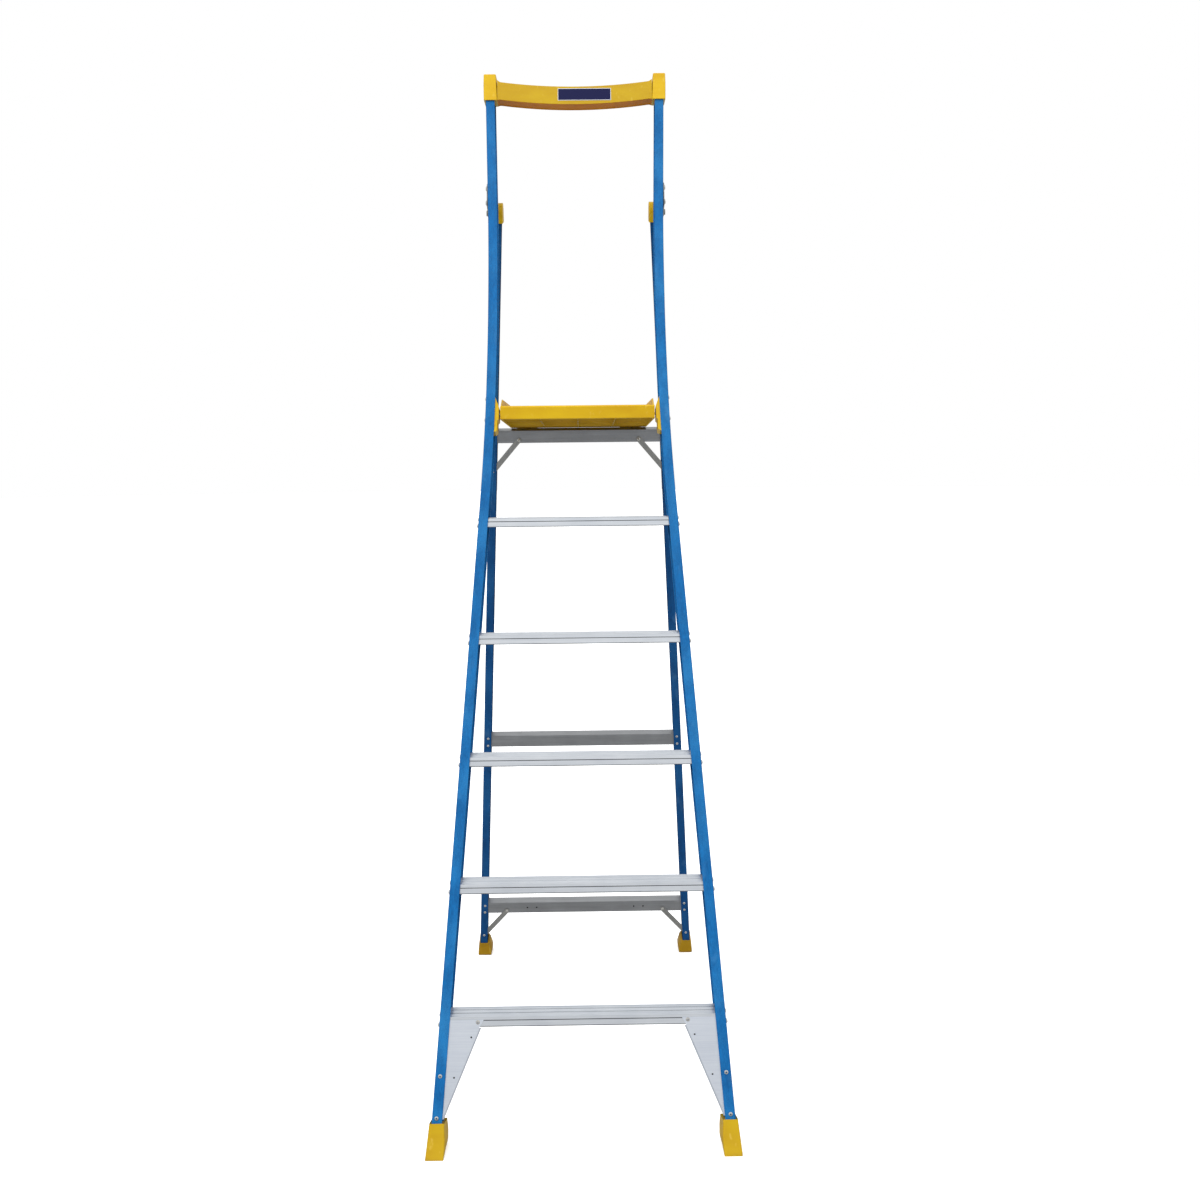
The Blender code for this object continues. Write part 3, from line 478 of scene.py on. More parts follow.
dirt_and_painted_shade = finish("gutter_dirt_and_shade", gutter_dirt_and_shade)
for name in TREADS:
    low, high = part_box(name)
    section = outlined(tread_section(low, high), ((BEAD_ROUND, (6, 7)),))
    ends = [Matrix.Translation((x, low.y, low.z)) @ ACROSS for x in (low.x, high.x)]
    tread = swept(section, ends)
    sunk = high.z - PAD_HEIGHT - RIB_HEIGHT
    groove = high.z - BEAD_TOP
    # Gutter floors, the nose groove and the sawn foot of the nose take the darkened aluminium: dirt
    # and painted shade in these recesses.
    for part in tread.faces:
        middle = part.calc_center_median()
        on_top = sunk - 1e-4 < middle.z < high.z - RIB_HEIGHT - 2e-4 and part.normal.z > 0.3
        in_groove = (groove - 1e-4 < middle.z < groove + GROOVE_HEIGHT + 1e-4
                     and middle.y < low.y + SHADE_DEPTH)
        at_foot = middle.z < low.z + SAWN_EDGE and middle.y < low.y + SAWN_EDGE
        part.material_index = int(on_top or in_groove or at_foot)
    piece(name + "_extrusion", tread, [bright, dirt_and_painted_shade], "front_frame", [name])


# ------------ tread fastenings
# Two steel rivets through the stile's web into each end of a tread: one into the boss behind the
# nose, one into the boss under the back of the top. The heads are domed, with the open centre
# that the setting mandrel leaves.
def zinc_plate(place):
    """Plated steel: a thin warm film, small spangles and a duller bloom."""
    spangle = noise(place, 700.0, 2.0)
    film = noise(place, 90.0, 4.0)
    bloom = ramp(noise(place, 260.0, 6.0), (0.50, 0.0), (0.70, 1.0))
    return {
        "Base Color": blend(ramp(film, (0.35, 0.0), (0.65, 1.0)), tint(128, 124, 112),
                            tint(176, 175, 168)),
        "Metallic": 1.0,
        "Roughness": 0.26 + spangle * 0.12 + bloom * 0.22,
        "Normal": bumped(spangle * 0.5 + bloom * 0.5, 0.00005),
    }


zinc = finish("zinc_plated_steel", zinc_plate)
rivet_steel = finish("rivet_steel", lambda place: {
    "Base Color": blend(noise(place, 300.0, 4.0), tint(196, 194, 186), tint(228, 228, 226)),
    "Metallic": 1.0, "Roughness": 0.24 + noise(place, 700.0) * 0.14,
    "Normal": bumped(noise(place, 500.0, 3.0), 0.00004)})
HEAD_RADIUS, HEAD_RISE = 0.0060, 0.0034
HEAD_PLACES = ((0.0080, 0.0035), (0.0300, 0.0190))


def turned(bm, profile, place, steps=20):
    """Spin a profile of (radius, height) about the Z axis of a placement."""
    before = set(bm.verts)
    chain = [bm.verts.new((r, 0.0, h)) for r, h in profile]
    edges = [bm.edges.new(pair) for pair in zip(chain, chain[1:])]
    bmesh.ops.spin(bm, geom=chain + edges, cent=(0, 0, 0), axis=(0, 0, 1), dvec=(0, 0, 0),
                   angle=2 * pi, steps=steps, use_merge=True, use_duplicate=False)
    bmesh.ops.remove_doubles(bm, verts=[v for v in bm.verts if v not in before], dist=1e-6)
    made = [v for v in bm.verts if v not in before]
    bmesh.ops.recalc_face_normals(bm, faces=list({f for v in made for f in v.link_faces}))
    bmesh.ops.transform(bm, matrix=place, verts=made)
    return made


def facing(point, outward):
    """Placement at a point with its Z axis outwards."""
    turn = Vector(outward).to_track_quat("Z", "Y").to_matrix().to_4x4()
    return Matrix.Translation(point) @ turn


def painted_hole_shade_steel(place):
    """Near-black steel, a little rubbed: painted shade inside rivet bores and in plugged holes."""
    rub = noise(place, 500.0, 4.0)
    return {"Base Color": blend(rub, tint(34, 34, 36), tint(66, 66, 68)), "Metallic": 0.7,
            "Roughness": 0.50 + rub * 0.16, "Specular IOR Level": 0.2}


hole_shade_dark = finish("hole_shade_dark", painted_hole_shade_steel)
rivet_and_bore_shade = [rivet_steel, hole_shade_dark]
BORE = 0.32


def set_rivet(bm, radius, rise, place, steps=20, shank=0.004):
    """Domed head with a deep open centre, painted near-black inside as shade, on a short shank."""
    bore, blind = radius * BORE, 0.0006 - shank
    profile = [(0.0, blind), (bore, blind), (bore, rise * 0.76),
               (bore * 1.3, rise), (radius * 0.62, rise * 0.94), (radius * 0.88, rise * 0.55),
               (radius, rise * 0.12), (radius * 0.98, 0.0), (radius * 0.5, 0.0),
               (radius * 0.5, -shank), (0.0, -shank)]
    made = turned(bm, profile, place, steps)
    to_axis = place.inverted()
    # Faces inside the bore take the second material: painted shade in the rivet's open centre.
    for part in {f for v in made for f in v.link_faces}:
        part.material_index = int(all((to_axis @ v.co).xy.length < bore * 1.02 for v in part.verts))


foot, above = STILE_RUN[:2]
SPLAY = Vector((1.0, 0.0, (foot[0] - above[0]) / (above[1] - foot[1])))
for name, side in SIDES:
    heads = bmesh.new()
    for node in TREADS:
        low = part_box(node)[0]
        for back, z in HEAD_PLACES:
            point = (edge_at(low.z + z), low.y + back, low.z + z)
            set_rivet(heads, HEAD_RADIUS, HEAD_RISE, facing(point, SPLAY))
    piece("tread_rivets_" + name, heads, rivet_and_bore_shade, "front_frame", side=side)


# ------------ gussets
# Aluminium sheet braces from the nose of the first tread down to the feet, behind the stile's
# front flange. The long free edge is folded back to stiffen it; two spare holes are left over
# from the punching pattern. Open-centre rivets hold it to the flange and the nose.
GUSSET_SHEET, GUSSET_FOLD, GUSSET_DEPTH = 0.0015, 0.0085, 0.0033
GUSSET_OPEN = (-0.0022, -0.0010)
GUSSET_INNER = ((0.3275, 0.079), (0.2420, 0.2710), (0.2335, 0.2885))
GUSSET_HOLES = ((0.2626, 0.2513), (0.3020, 0.1662))
GUSSET_ENDS, FLANGE_ROOM, FOLD_ROUND = (0.2885, 0.077), 0.0052, 0.0018
GUSSET_RIVETS = ((0.3340, 0.1710, 0.0), (0.3410, 0.0830, 0.0), (0.2474, 0.2834, 0.0031))
HOLE_RADIUS, HOLE_FIT, PLUG_SUNK = 0.0021, 0.0001, 0.0004
FRONT_FACE = FRONT.to_3x3() @ Vector((0, -1, 0))
sheet = finish("gusset_aluminium", rolled_aluminium(
    0.7, tint(240, 246, 254), tint(224, 231, 243), (0.02, 1.0, 1.0), 0.34, 0.12))


def drilled(bm, bores, radius, length):
    """Cut round holes: each bore is a placement whose Z axis is the drill's."""
    tool = bmesh.new()
    for place in bores:
        bmesh.ops.create_cone(tool, cap_ends=True, segments=20, radius1=radius, radius2=radius,
                              depth=length, matrix=place)
    pair = []
    for name, part in (("blank", bm), ("drill", tool)):
        mesh = bpy.data.meshes.new(name)
        part.to_mesh(mesh)
        pair.append(bpy.data.objects.new(name, mesh))
        bpy.context.scene.collection.objects.link(pair[-1])
    cut = pair[0].modifiers.new("cut", "BOOLEAN")
    cut.object = pair[1]
    cut.solver = "EXACT"
    bpy.context.view_layer.update()
    result = bpy.data.meshes.new_from_object(
        pair[0].evaluated_get(bpy.context.evaluated_depsgraph_get()))
    bm.clear()
    bm.from_mesh(result)
    tool.free()
    for done in pair:
        bpy.data.objects.remove(done)
    return bm


def plug_shape(radius):
    """Blind rivet sunk in a spare hole: a dished face and a collar behind the sheet."""
    return [(0.0, -0.0008), (radius * 0.6, -0.0006), (radius, 0.0), (radius, -0.0018),
            (radius * 1.4, -0.0019), (radius * 1.4, -0.0030), (0.0, -0.0032)]


for name, side in SIDES:
    brace = bmesh.new()
    outer = [(edge_at(z) - FLANGE_ROOM, z) for z in GUSSET_ENDS]
    corners = [brace.verts.new(FRONT @ Vector((x, GUSSET_DEPTH, up_front(z, GUSSET_DEPTH))))
               for x, z in outer + list(GUSSET_INNER)]
    brace.faces.new(corners)
    free_edge = brace.edges.get((corners[2], corners[3]))
    folded = bmesh.ops.extrude_edge_only(brace, edges=[free_edge])["geom"]
    back = FRONT.to_3x3() @ Vector((GUSSET_OPEN[0], GUSSET_FOLD, GUSSET_OPEN[1]))
    bmesh.ops.translate(brace, verts=[v for v in folded if isinstance(v, bmesh.types.BMVert)],
                        vec=back)
    brace.normal_update()
    bmesh.ops.bevel(brace, geom=[free_edge], offset=FOLD_ROUND, segments=4, profile=0.5,
                    affect="EDGES", material=-1)
    bmesh.ops.recalc_face_normals(brace, faces=brace.faces)
    if brace.faces[:][0].normal.y > 0:
        bmesh.ops.reverse_faces(brace, faces=brace.faces)
    bmesh.ops.solidify(brace, geom=brace.faces[:], thickness=GUSSET_SHEET)
    bmesh.ops.recalc_face_normals(brace, faces=brace.faces)
    holes = [facing(FRONT @ Vector((x, GUSSET_DEPTH, up_front(z, GUSSET_DEPTH))), FRONT_FACE)
             for x, z in GUSSET_HOLES]
    drilled(brace, holes, HOLE_RADIUS, 0.010)
    piece("gusset_sheet_" + name, brace, sheet, "front_frame",
          ["gusset_" + name], side)
    plugs = bmesh.new()
    for place in holes:
        turned(plugs, plug_shape(HOLE_RADIUS - HOLE_FIT),
               place @ Matrix.Translation((0, 0, -PLUG_SUNK)), 16)
    # The plugs are near-black: painted shade in the spare holes.
    piece("gusset_plugs_" + name, plugs, hole_shade_dark, "front_frame", side=side)
    heads = bmesh.new()
    for x, z, depth in GUSSET_RIVETS:
        set_rivet(heads, 0.0049, 0.0022,
                  facing(FRONT @ Vector((x, depth, up_front(z, depth))), FRONT_FACE))
    piece("gusset_rivets_" + name, heads, rivet_and_bore_shade, "front_frame", side=side)


# ------------ the feet
# Moulded yellow shoes pushed over the ends of the stiles and legs. The sole flares at toe and
# heel, the inner side swells over the stile's open channel, and a lip at the top carries the
# moulding's parting line. Their soles wear dull and dirty.
def yellow_moulding(deep, pale, gloss=0.28):
    """Injection-moulded plastic with a fine spark-eroded grain, faint flow marks and scuffs."""
    def build(place):
        grain = noise(place, 1500.0, 2.0)
        flow = noise(place, 22.0, 3.0, (0.4, 1.0, 1.0))
        cloud = noise(place, 6.0, 2.0)
        scuffs = ramp(noise(place, 75.0, 7.0, (1.0, 0.6, 0.5)), (0.61, 0.0), (0.72, 1.0))
        height = place.node("ShaderNodeSeparateXYZ", {}, {"Vector": place}, 2)
        dirt = ramp(height * 30.0 + noise(place, 60.0, 5.0) * 0.5, (0.20, 1.0), (0.45, 0.0))
        body = blend(ramp(flow * 0.6 + cloud * 0.4, (0.38, 0.0), (0.62, 1.0)), deep, pale)
        worn = blend(scuffs * 0.22, body, tint(240, 214, 110))
        return {
            "Base Color": blend(dirt * 0.30, worn, tint(120, 96, 40)),
            "Roughness": 0.36 + grain * 0.10 + scuffs * 0.16 + dirt * 0.20,
            "Specular IOR Level": gloss,
            "Normal": bumped(grain * 0.7 + flow * 0.3, 0.00010),
        }
    return build


yellow = finish("yellow_moulding", yellow_moulding(tint(204, 160, 6), tint(216, 178, 14)))
deep_yellow = finish("yellow_moulding_deep",
                     yellow_moulding(tint(186, 147, 5), tint(198, 164, 12)))
# A darker copy of the yellow, used for the rear shoes: painted shade.
shaded_yellow = finish("yellow_moulding_rear_painted_shade",
                       yellow_moulding(tint(152, 114, 3), tint(168, 130, 6)))
LEG_DEPTH, LEG_FLANGE, LEG_WALL = 0.050, 0.0228, 0.003
REAR_LEAN = -atan(slope_between("crossbar_lower", "crossbar_upper"))
joints = {joint["name"]: joint for joint in frame["joints"]}
REAR = Matrix.Translation(joints["rear_fold"]["pos_m"]) @ Matrix.Rotation(REAR_LEAN, 4, "X")
REAR_FACE = REAR.to_3x3() @ Vector((0, -1, 0))
FOOT_STEPS = (0.0, 0.12, 0.24, 0.36, 0.48, 0.60, 0.72, 0.84, 1.0)
FOOT_FLARE, FOOT_LIP, LIP_DROP, SHOE_WALL = 0.006, 0.0032, 0.006, 0.004
SHOE_SOLE, SHOE_MOUTH, SHOE_HEIGHT, SHOE_SWELL = (0.3657, 0.3232), (0.3577, 0.3225), 0.0728, 0.0065


def shoe(low_faces, high_faces, height, swell, start, lean, span):
    """Shoe drawn upwards from its sole; faces are (outer, inner), lean is the stile's slope."""
    flat = cos(atan(lean))
    tilt = -sin(atan(lean))

    def level(t):
        """(outer, inner, toe, heel, toe height, heel height) at a share of the height."""
        outer, inner = [a + (b - a) * t for a, b in zip(low_faces, high_faces)]
        flare = FOOT_FLARE * (1 - t) ** 2
        low, high = [t * (height + depth * tilt) for depth in span]
        return (outer, inner, start + span[0] / flat + lean * low - flare,
                start + span[1] / flat + lean * high + flare, low, high)

    outer, inner, toe, heel, _, _ = level(0.0)
    middle = (toe + heel) / 2
    points = [(outer, toe), (outer, heel), (inner, heel), (inner, heel - 0.012), (inner, middle),
              (inner, toe + 0.012), (inner, toe)]
    bm = outlined(points, ((0.0035, (0, 1)), (0.0022, (2, 6))))
    places = []
    for t in FOOT_STEPS:
        a, b, y0, y1, z0, z1 = level(t)
        sx, sy, sz = (a - b) / (outer - inner), (y1 - y0) / (heel - toe), (z1 - z0) / (heel - toe)
        places.append(Matrix(((sx, 0, 0, b - sx * inner), (0, sy, 0, y0 - sy * toe),
                              (0, sz, 1, z0 - sz * toe), (0, 0, 0, 1))))
    swept(bm, places)
    for vert in bm.verts:
        t = min(max(vert.co.z / height, 0.0), 1.0)
        a, b, y0, y1, _, _ = level(t)
        across = (a - vert.co.x) / (a - b)
        along = min(max((vert.co.y - y0) / (y1 - y0), 0.0), 1.0)
        if across > 0.9:
            vert.co.x -= swell * sin(pi * min(t * 1.12, 1.0)) ** 1.5 * sin(pi * along) ** 0.5
    bm.normal_update()
    top = [f for f in bm.faces if f.normal.z > 0.7 and f.calc_center_median().z > height * 0.7]
    bmesh.ops.inset_region(bm, faces=top, thickness=FOOT_LIP, use_even_offset=True)
    bmesh.ops.translate(bm, verts=list({v for f in top for v in f.verts}), vec=(0, 0, -LIP_DROP))
    return soften(bm, 0.0013, 3, 35)


for name, side in SIDES:
    front_shoe = shoe(SHOE_SOLE, SHOE_MOUTH, SHOE_HEIGHT, SHOE_SWELL, FRONT.translation.y,
                      tan(FRONT_LEAN), (-SHOE_WALL, STILE_DEPTH + SHOE_WALL))
    piece("front_shoe_" + name, front_shoe, deep_yellow, "front_frame",
          ["front_foot_" + name], side)


# ------------ the handrail
# A moulded yellow rail: two caps that drop over the tops of the stiles, and a bar between them
# that dips towards its middle. The bar flows into the caps in small fillets, and three ribs cross
# the shallow panels of its underside.
CORNER_LEVELS = ((2.5925, 0.2500, 0.2135), (2.6160, 0.2507, 0.2146), (2.6400, 0.2512, 0.2158),
                 (2.6685, 0.2508, 0.2172))
CORNER_WALL = 0.005
BAR_HALF, BAR_BOTTOM, BAR_TOP, BAR_SAG, BAR_FLARE = 0.2135, 2.5955, 2.6475, 0.016, 0.005
BAR_DEPTH, BAR_FRONT = STILE_DEPTH + 0.0015, 0.0005
BAR_RIBS, RIB_HALF = (-0.115, 0.0, 0.115), 0.0017
BAR_LIP, BAR_GROOVE, BAR_CROWN = 0.0045, 0.0016, 0.0012
FLARE_START, BAR_DROP = 0.95, 0.0030

for name, side in SIDES:
    low, high = CORNER_LEVELS[0], CORNER_LEVELS[-1]
    near, far = -CORNER_WALL, STILE_DEPTH + CORNER_WALL
    section = outlined([(low[1], near), (low[1], far), (low[2], far), (low[2], near)],
                       ((0.0030, (0, 1, 2, 3)),))
    places = []
    for z, outer, inner in CORNER_LEVELS:
        wide = (outer - inner) / (low[1] - low[2])
        places.append(FRONT @ Matrix(((wide, 0, 0, inner - wide * low[2]), (0, 1, 0, 0),
                                      (0, tan(FRONT_LEAN), 1, z / cos(FRONT_LEAN)), (0, 0, 0, 1))))
    cap = swept(section, places)
    top = max((FRONT.inverted() @ v.co).z for v in cap.verts)
    soften(cap, 0.0032, 4, 50, lambda e: all((FRONT.inverted() @ v.co).z > top - 0.025
                                             for v in e.verts))
    soften(cap, 0.0010, 2, 50)
    piece("handrail_cap_" + name, cap, yellow, "front_frame",
          ["handrail_corner_" + name], side)

groove = BAR_GROOVE / (BAR_TOP - BAR_BOTTOM)
rear_face = BAR_FRONT + BAR_DEPTH
section = outlined([(BAR_FRONT, 0.0), (BAR_FRONT + BAR_LIP, 0.0), (BAR_FRONT + BAR_LIP, groove),
                    (rear_face - BAR_LIP, groove), (rear_face - BAR_LIP, 0.0), (rear_face, 0.0),
                    (rear_face, 1.0), (BAR_FRONT, 1.0), (BAR_FRONT - BAR_CROWN, 0.5)])


def bar_levels(x):
    """Bottom and top of the bar at a distance from its middle."""
    share = abs(x) / BAR_HALF
    sag = BAR_SAG * (1 - share ** 2)
    rise = max(0.0, (share - FLARE_START) / (1 - FLARE_START))
    return BAR_BOTTOM - sag - BAR_DROP * rise ** 3, BAR_TOP - sag + BAR_FLARE * rise ** 2


def bar_place(x):
    bottom, top = bar_levels(x)
    return FRONT @ Matrix(((0, 0, 1, x), (1, 0, 0, 0),
                           (tan(FRONT_LEAN), (top - bottom) / cos(FRONT_LEAN), 0,
                            bottom / cos(FRONT_LEAN)), (0, 0, 0, 1)))


inner_marks = [BAR_HALF * 0.9 * k / 14 for k in range(-14, 15)]
end_marks = [side * BAR_HALF * share for share in (FLARE_START, 0.965, 0.98, 0.99, 1.0)
             for _, side in SIDES]
bar = swept(section, [bar_place(x) for x in sorted(inner_marks + end_marks)])
long_edges = lambda edge: abs((edge.verts[0].co - edge.verts[1].co).normalized().x) > 0.8
soften(bar, 0.0024, 3, 38, long_edges)
rib_front, rib_back, rib_low, rib_high = (BAR_FRONT + BAR_LIP / 2, rear_face - BAR_LIP / 2,
                                          0.006 * groove, 1.5 * groove)
for x in BAR_RIBS:
    rib = outlined([(rib_front, rib_low), (rib_back, rib_low), (rib_back, rib_high),
                    (rib_front, rib_high)])
    swept(rib, [bar_place(x - RIB_HALF), bar_place(x + RIB_HALF)])
    joined = bpy.data.meshes.new("rib")
    rib.to_mesh(joined)
    rib.free()
    bar.from_mesh(joined)
bar.normal_update()
# Faces turned downwards take a deeper, more orange yellow: painted shade on the rail's underside.
for part in bar.faces:
    part.material_index = int(part.normal.z < -0.5)
underside_painted_shade = finish("yellow_underside_painted_shade",
                      yellow_moulding(tint(196, 116, 3), tint(208, 130, 6), 0.04))
piece("handrail_rail", bar, [deep_yellow, underside_painted_shade], "front_frame",
      ["handrail_bar"])


# ------------ name plate
# A printed vinyl plate stuck to the front of the rail, navy with a thin pale border. Plain: it
# carries no lettering.
def navy_vinyl(place):
    """Printed vinyl: even colour, a faint weave from the print and a few rubs."""
    weave = noise(place, 1800.0, 2.0)
    rub = ramp(noise(place, 120.0, 6.0), (0.60, 0.0), (0.72, 1.0))
    return {"Base Color": blend(weave * 0.25 + rub * 0.10, tint(14, 17, 62), tint(32, 38, 90)),
            "Roughness": 0.42 + weave * 0.10 + rub * 0.12, "Specular IOR Level": 0.2,
            "Normal": bumped(weave, 0.00003)}


def pale_vinyl(place):
    """The unprinted border of the plate."""
    weave = noise(place, 1800.0, 2.0)
    return {"Base Color": blend(weave, tint(205, 208, 214), tint(226, 228, 232)),
            "Roughness": 0.34 + weave * 0.10}


low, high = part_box("label_plate")
PLATE_BORDER, PLATE_CORNER, PLATE_SUNK = 0.0013, 0.0012, 0.00015
levels = [(FRONT.inverted() @ v.co).z for v in frame["nodes"]["label_plate"].data.vertices]
bottom, top = min(levels), max(levels)
plate = outlined([(low.x, bottom), (high.x, bottom), (high.x, top), (low.x, top)],
                 ((PLATE_CORNER, (0, 1, 2, 3)),))
onto = FRONT @ Matrix(((1, 0, 0, 0), (0, 0, 1, 0), (0, 1, 0, 0), (0, 0, 0, 1)))
swept(plate, [onto @ Matrix.Translation((0, 0, depth)) for depth in (0.0002, -0.0009)])
plate.normal_update()
face = [f for f in plate.faces if f.normal.y < -0.8]
for part in plate.faces:
    part.material_index = 1
bmesh.ops.inset_region(plate, faces=face, thickness=PLATE_BORDER, use_even_offset=True)
for part in face:
    part.material_index = 0
bmesh.ops.translate(plate, verts=list({v for f in face for v in f.verts}),
                    vec=FRONT_FACE * -PLATE_SUNK)
piece("handrail_plate", plate, [finish("navy_vinyl", navy_vinyl), finish("pale_vinyl", pale_vinyl)],
      "front_frame", ["label_plate"])


# ------------ platform hinge brackets
# Yellow moulded blocks inside the stiles' channels, riveted through the webs. They stand out past
# the flanges and carry the platform's front pins.
def from_model(node, whole_faces=True):
    """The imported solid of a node, with its loose triangles merged into whole faces."""
    bm = bmesh.new()
    bm.from_mesh(frame["nodes"][node].data)
    bmesh.ops.remove_doubles(bm, verts=bm.verts, dist=2e-6)
    if whole_faces:
        bmesh.ops.dissolve_limit(bm, angle_limit=radians(0.5), verts=bm.verts, edges=bm.edges)
    return bm


def straight_edges(shortest):
    """Chooses the edges that are longer than the sides of a small round hole."""
    return lambda edge: edge.calc_length() > shortest


def packed_rivets(stem, name, sign, drop, radius, rise, shank):
    """Heads where a side's upper and lower packed rivets stand, seated inside their tips."""
    heads = bmesh.new()
    nodes = [f"{stem}_{level}_{name}" for level in ("upper", "lower")]
    for node in nodes:
        low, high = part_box(node)
        seat = max(abs(low.x), abs(high.x)) - drop
        place = facing((sign * seat, (low.y + high.y) / 2, (low.z + high.z) / 2), (sign, 0, 0))
        set_rivet(heads, radius, rise, place, shank=shank)
    return heads, nodes


for name, side in SIDES:
    bracket = soften(from_model("platform_bracket_" + name), 0.0016, 3, 25, straight_edges(0.006))
    piece("platform_hinge_block_" + name, bracket, yellow, "front_frame",
          ["platform_bracket_" + name])
    heads, nodes = packed_rivets("bracket_rivet", name, side, 0.0030, 0.0058, 0.0030, 0.012)
    piece("hinge_block_rivets_" + name, heads, rivet_and_bore_shade, "front_frame",
          nodes)


# ------------ rear frame hinges
# A zinc-plated steel plate riveted outside each stile; a hexagon bolt through it, with a washer
# and a spacer, is the axle of the rear leg, and a nut inside the leg's channel holds it.
HEAD_STACK, HEX_RADIUS, HEX_HEIGHT, HEX_LIFT, HEX_TURN = 0.0052, 0.0080, 0.0038, 0.0031, 17
WASHER = ((0.0052, 0.0), (0.0105, 0.0), (0.0110, 0.0004), (0.0108, 0.0012), (0.0052, 0.0012),
          (0.0052, 0.0))
BOLT_SHANK = ((0.0, 0.0005), (0.0048, 0.0005), (0.0048, -0.0285), (0.0040, -0.0300),
              (0.0, -0.0300))
SPACER_BORE, SPACER_EDGE, NUT_BORE = 0.0051, 0.0006, 0.0049
axle = joints["rear_fold"]["pos_m"]
for name, side in SIDES:
    plate = soften(from_model("hinge_plate_" + name), 0.0007, 2, 50, straight_edges(0.0025))
    piece("hinge_plate_sheet_" + name, plate, zinc, "front_frame",
          ["hinge_plate_" + name])
    heads, nodes = packed_rivets("hinge_rivet", name, 1, 0.0032, 0.0075, 0.0032, 0.010)
    piece("hinge_rivets_" + name, heads, rivet_and_bore_shade, "front_frame", nodes,
          side)
    tip = max(abs(corner.x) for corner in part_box("pivot_bolt_" + name))
    bolt = bmesh.new()
    seat = facing((tip - HEAD_STACK, axle[1], axle[2]), (1, 0, 0))
    turned(bolt, WASHER, seat, 28)
    turn = seat @ Matrix.Translation((0, 0, HEX_LIFT)) @ Matrix.Rotation(radians(HEX_TURN), 4, "Z")
    hexagon = bmesh.ops.create_cone(bolt, cap_ends=True, segments=6, radius1=HEX_RADIUS,
                                    radius2=HEX_RADIUS, depth=HEX_HEIGHT, matrix=turn)["verts"]
    rims = list({e for v in hexagon for e in v.link_edges})
    bmesh.ops.bevel(bolt, geom=rims, offset=0.0006, segments=2, profile=0.5, affect="EDGES",
                    material=-1)
    turned(bolt, BOLT_SHANK, seat, 24)
    piece("hinge_bolt_" + name, bolt, zinc, "front_frame",
          ["pivot_bolt_" + name], side)
    for part in ("spacer", "nut"):
        low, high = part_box(f"pivot_{part}_{name}")
        ends = sorted((abs(low.x), abs(high.x)))
        outer = (high.z - low.z) / 2
        ring = bmesh.new()
        length = ends[1] - ends[0]
        if part == "spacer":
            turned(ring, [(SPACER_BORE, 0.0), (outer - SPACER_EDGE, 0.0), (outer, SPACER_EDGE),
                          (outer, length - SPACER_EDGE), (outer - SPACER_EDGE, length),
                          (SPACER_BORE, length), (SPACER_BORE, 0.0)],
                   facing((ends[0], axle[1], axle[2]), (1, 0, 0)), 28)
        else:
            seat = facing(((ends[0] + ends[1]) / 2, axle[1], axle[2]), (1, 0, 0))
            bmesh.ops.create_cone(ring, cap_ends=True, segments=6, radius1=outer, radius2=outer,
                                  depth=length, matrix=seat)
            drilled(ring, [seat], NUT_BORE, 0.02)
            soften(ring, 0.0005, 2, 50, straight_edges(0.004))
        piece(f"hinge_{part}_{name}", ring, zinc, "front_frame",
              [f"pivot_{part}_{name}"], side)


# ------------ rear legs
# Two narrower channels of the same blue fibreglass, webs outside, splayed a little. Yellow caps
# with a round top close their upper ends, and small shoes, wider at the toe and round under the
# sole's sides, their lower ends.
# The rear legs' blue is darker than the stiles' blue: painted shade on the rear frame.
rear_blue_painted_shade = finish("blue_fibreglass_rear_painted_shade", blue_fibreglass(
    -REAR_LEAN, tint(4, 58, 106), tint(8, 76, 134), tint(38, 104, 158)))
leg_points = {}
for vert in frame["nodes"]["rear_leg_right"].data.vertices:
    at = REAR.inverted() @ vert.co
    if abs(at.y + LEG_DEPTH / 2 - STILE_CORNER) < NEAR and at.x > 0.1:
        leg_points[round(at.z, 4)] = max(at.x, leg_points.get(round(at.z, 4), 0.0))
leg_run = [(x, s) for s, x in sorted(leg_points.items())]
LEG_RUN = [leg_run[0], leg_run[-1]]
TOE_EDGE, TOE_HEIGHT, TOE_SPREAD = 0.006, 0.040, 0.0040
SOLE_ROUND, SOLE_CUTS = 0.0050, (0.0007, 0.0018, 0.0034)
for name, side in SIDES:
    leg = channel(LEG_DEPTH, LEG_FLANGE, LEG_WALL)
    bmesh.ops.translate(leg, verts=leg.verts, vec=(0, -LEG_DEPTH / 2, 0))
    piece("rear_leg_shell_" + name, swept(leg, along_edge(LEG_RUN, REAR, 0.0)), rear_blue_painted_shade,
          "rear_frame", ["rear_leg_" + name], side)
    cap = soften(from_model("rear_cap_" + name), 0.0012, 2, 50)
    piece("rear_leg_cap_" + name, cap, yellow, "rear_frame",
          ["rear_cap_" + name])
    rear_shoe = from_model("rear_foot_" + name)
    low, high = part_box("rear_foot_" + name)
    for level in SOLE_CUTS:
        bmesh.ops.bisect_plane(rear_shoe, geom=rear_shoe.verts[:] + rear_shoe.edges[:]
                               + rear_shoe.faces[:], plane_co=(0, 0, low.z + level),
                               plane_no=(0, 0, 1))
    for vert in rear_shoe.verts:
        if vert.co.y < low.y + TOE_EDGE and abs(vert.co.x) < abs(low.x + high.x) / 2:
            share = max(0.0, 1 - (vert.co.z - low.z) / TOE_HEIGHT)
            vert.co.x -= copysign(TOE_SPREAD * share, vert.co.x)
        gap = max(0.0, SOLE_ROUND - (vert.co.z - low.z))
        tuck = SOLE_ROUND - sqrt(SOLE_ROUND ** 2 - gap ** 2)
        vert.co.x += tuck if vert.co.x < (low.x + high.x) / 2 else -tuck
    soften(rear_shoe, 0.0012, 2, 40, straight_edges(0.008))
    piece("rear_shoe_" + name, rear_shoe, shaded_yellow, "rear_frame",
          ["rear_foot_" + name])


